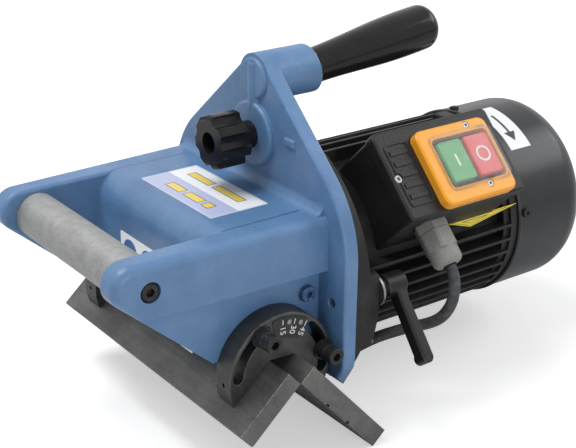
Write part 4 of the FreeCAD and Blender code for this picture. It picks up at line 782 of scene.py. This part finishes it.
bent_thick = 0.00014
arrow_y = 0.1712
shaft_half = 0.0013
head_spread = 47
tip, shaft_from, head_to, tail = (math.radians(a) for a in (54, 60, 61.2, 78))
arrow_film = Finish("arrow_print", Specular_IOR_Level=0.5)
x, y, z = arrow_film.axes()
angle_at = y.maths("ARCTAN2", z - motor_origin.z, x - motor_origin.x)
off = y.maths("ABSOLUTE", y - arrow_y, 0.0)
shaft = (off < shaft_half) * (angle_at > shaft_from) * (angle_at < tail)
head = (off * 1000 < (angle_at - tip) * head_spread) * (angle_at < head_to)
rub_in = arrow_film.noise(500, 4)
arrow_film.give(Base_Color=arrow_film.colour(shaft + head, (0.80, 0.82, 0.84, 1), (0.02, 0.02, 0.022, 1)),
                Roughness=0.32 + 0.2 * rub_in)
sticker("turning_arrow", "motor_unit", bent_film(0.1612, 0.1835, 48.5, 88, 0.07866), arrow_film, Matrix())

# ---------------------------------------------------------------- warning triangle
# A yellow film with black outlines, stuck across the tips of the motor's ribs under the switch
# box, one corner pointing down.
tip_y, left_y, right_y = 0.0960, 0.0715, 0.1495
low_angle, high_angle = math.radians(11.6), math.radians(17.2)
strip_r = 0.07775
strip_high = 7.6


def warning_triangle(b):
    """A triangle of film lying over the motor's ribs, one corner pointing down."""
    bmesh.ops.create_grid(b, x_segments=16, y_segments=8, size=0.5)
    for vert in b.verts:
        share = vert.co.x + 0.5
        rise = vert.co.y + 0.5
        left = tip_y + (left_y - tip_y) * rise
        right = tip_y + (right_y - tip_y) * rise
        a = low_angle + (high_angle - low_angle) * rise
        vert.co = (motor_origin.x + strip_r * math.cos(a), left + (right - left) * share,
                   motor_origin.z + strip_r * math.sin(a))
    bmesh.ops.remove_doubles(b, verts=b.verts[:], dist=0.000001)
    for moved in bmesh.ops.extrude_face_region(b, geom=b.faces[:])["geom"]:
        if isinstance(moved, bmesh.types.BMVert):
            out = Vector((moved.co.x - motor_origin.x, 0, moved.co.z - motor_origin.z))
            moved.co += out.normalized() * bent_thick


warning_film = Finish("warning_print", Specular_IOR_Level=0.5)
x, y, z = warning_film.axes()
angle_at = y.maths("ARCTAN2", z - motor_origin.z, x - motor_origin.x)
rise = (angle_at - low_angle) * (1 / (high_angle - low_angle))
# For each side: how far in from it a point lies, in millimetres, how far in one step of inset
# goes, and how wide a line is.
sides = (((y - tip_y - rise * (left_y - tip_y)) * 1000, 2.6, 1.3),
         ((tip_y - y + rise * (right_y - tip_y)) * 1000, 4.6, 2.6),
         ((1 - rise) * strip_high, 0.62, 0.4))
lines = None
for inset in (1.0, 3.4):
    inside = None
    narrower = None
    for far_in, share, wide in sides:
        beyond = far_in > inset * share
        past_line = far_in > inset * share + wide
        inside = beyond if inside is None else inside * beyond
        narrower = past_line if narrower is None else narrower * past_line
    lines = inside - narrower if lines is None else lines + inside - narrower
warning_film.give(Base_Color=warning_film.colour(lines, (0.80, 0.63, 0.05, 1), (0.04, 0.04, 0.03, 1)),
                  Roughness=0.34 + 0.2 * warning_film.noise(400, 4))
sticker("warning_triangle", "motor_unit", warning_triangle, warning_film, Matrix())
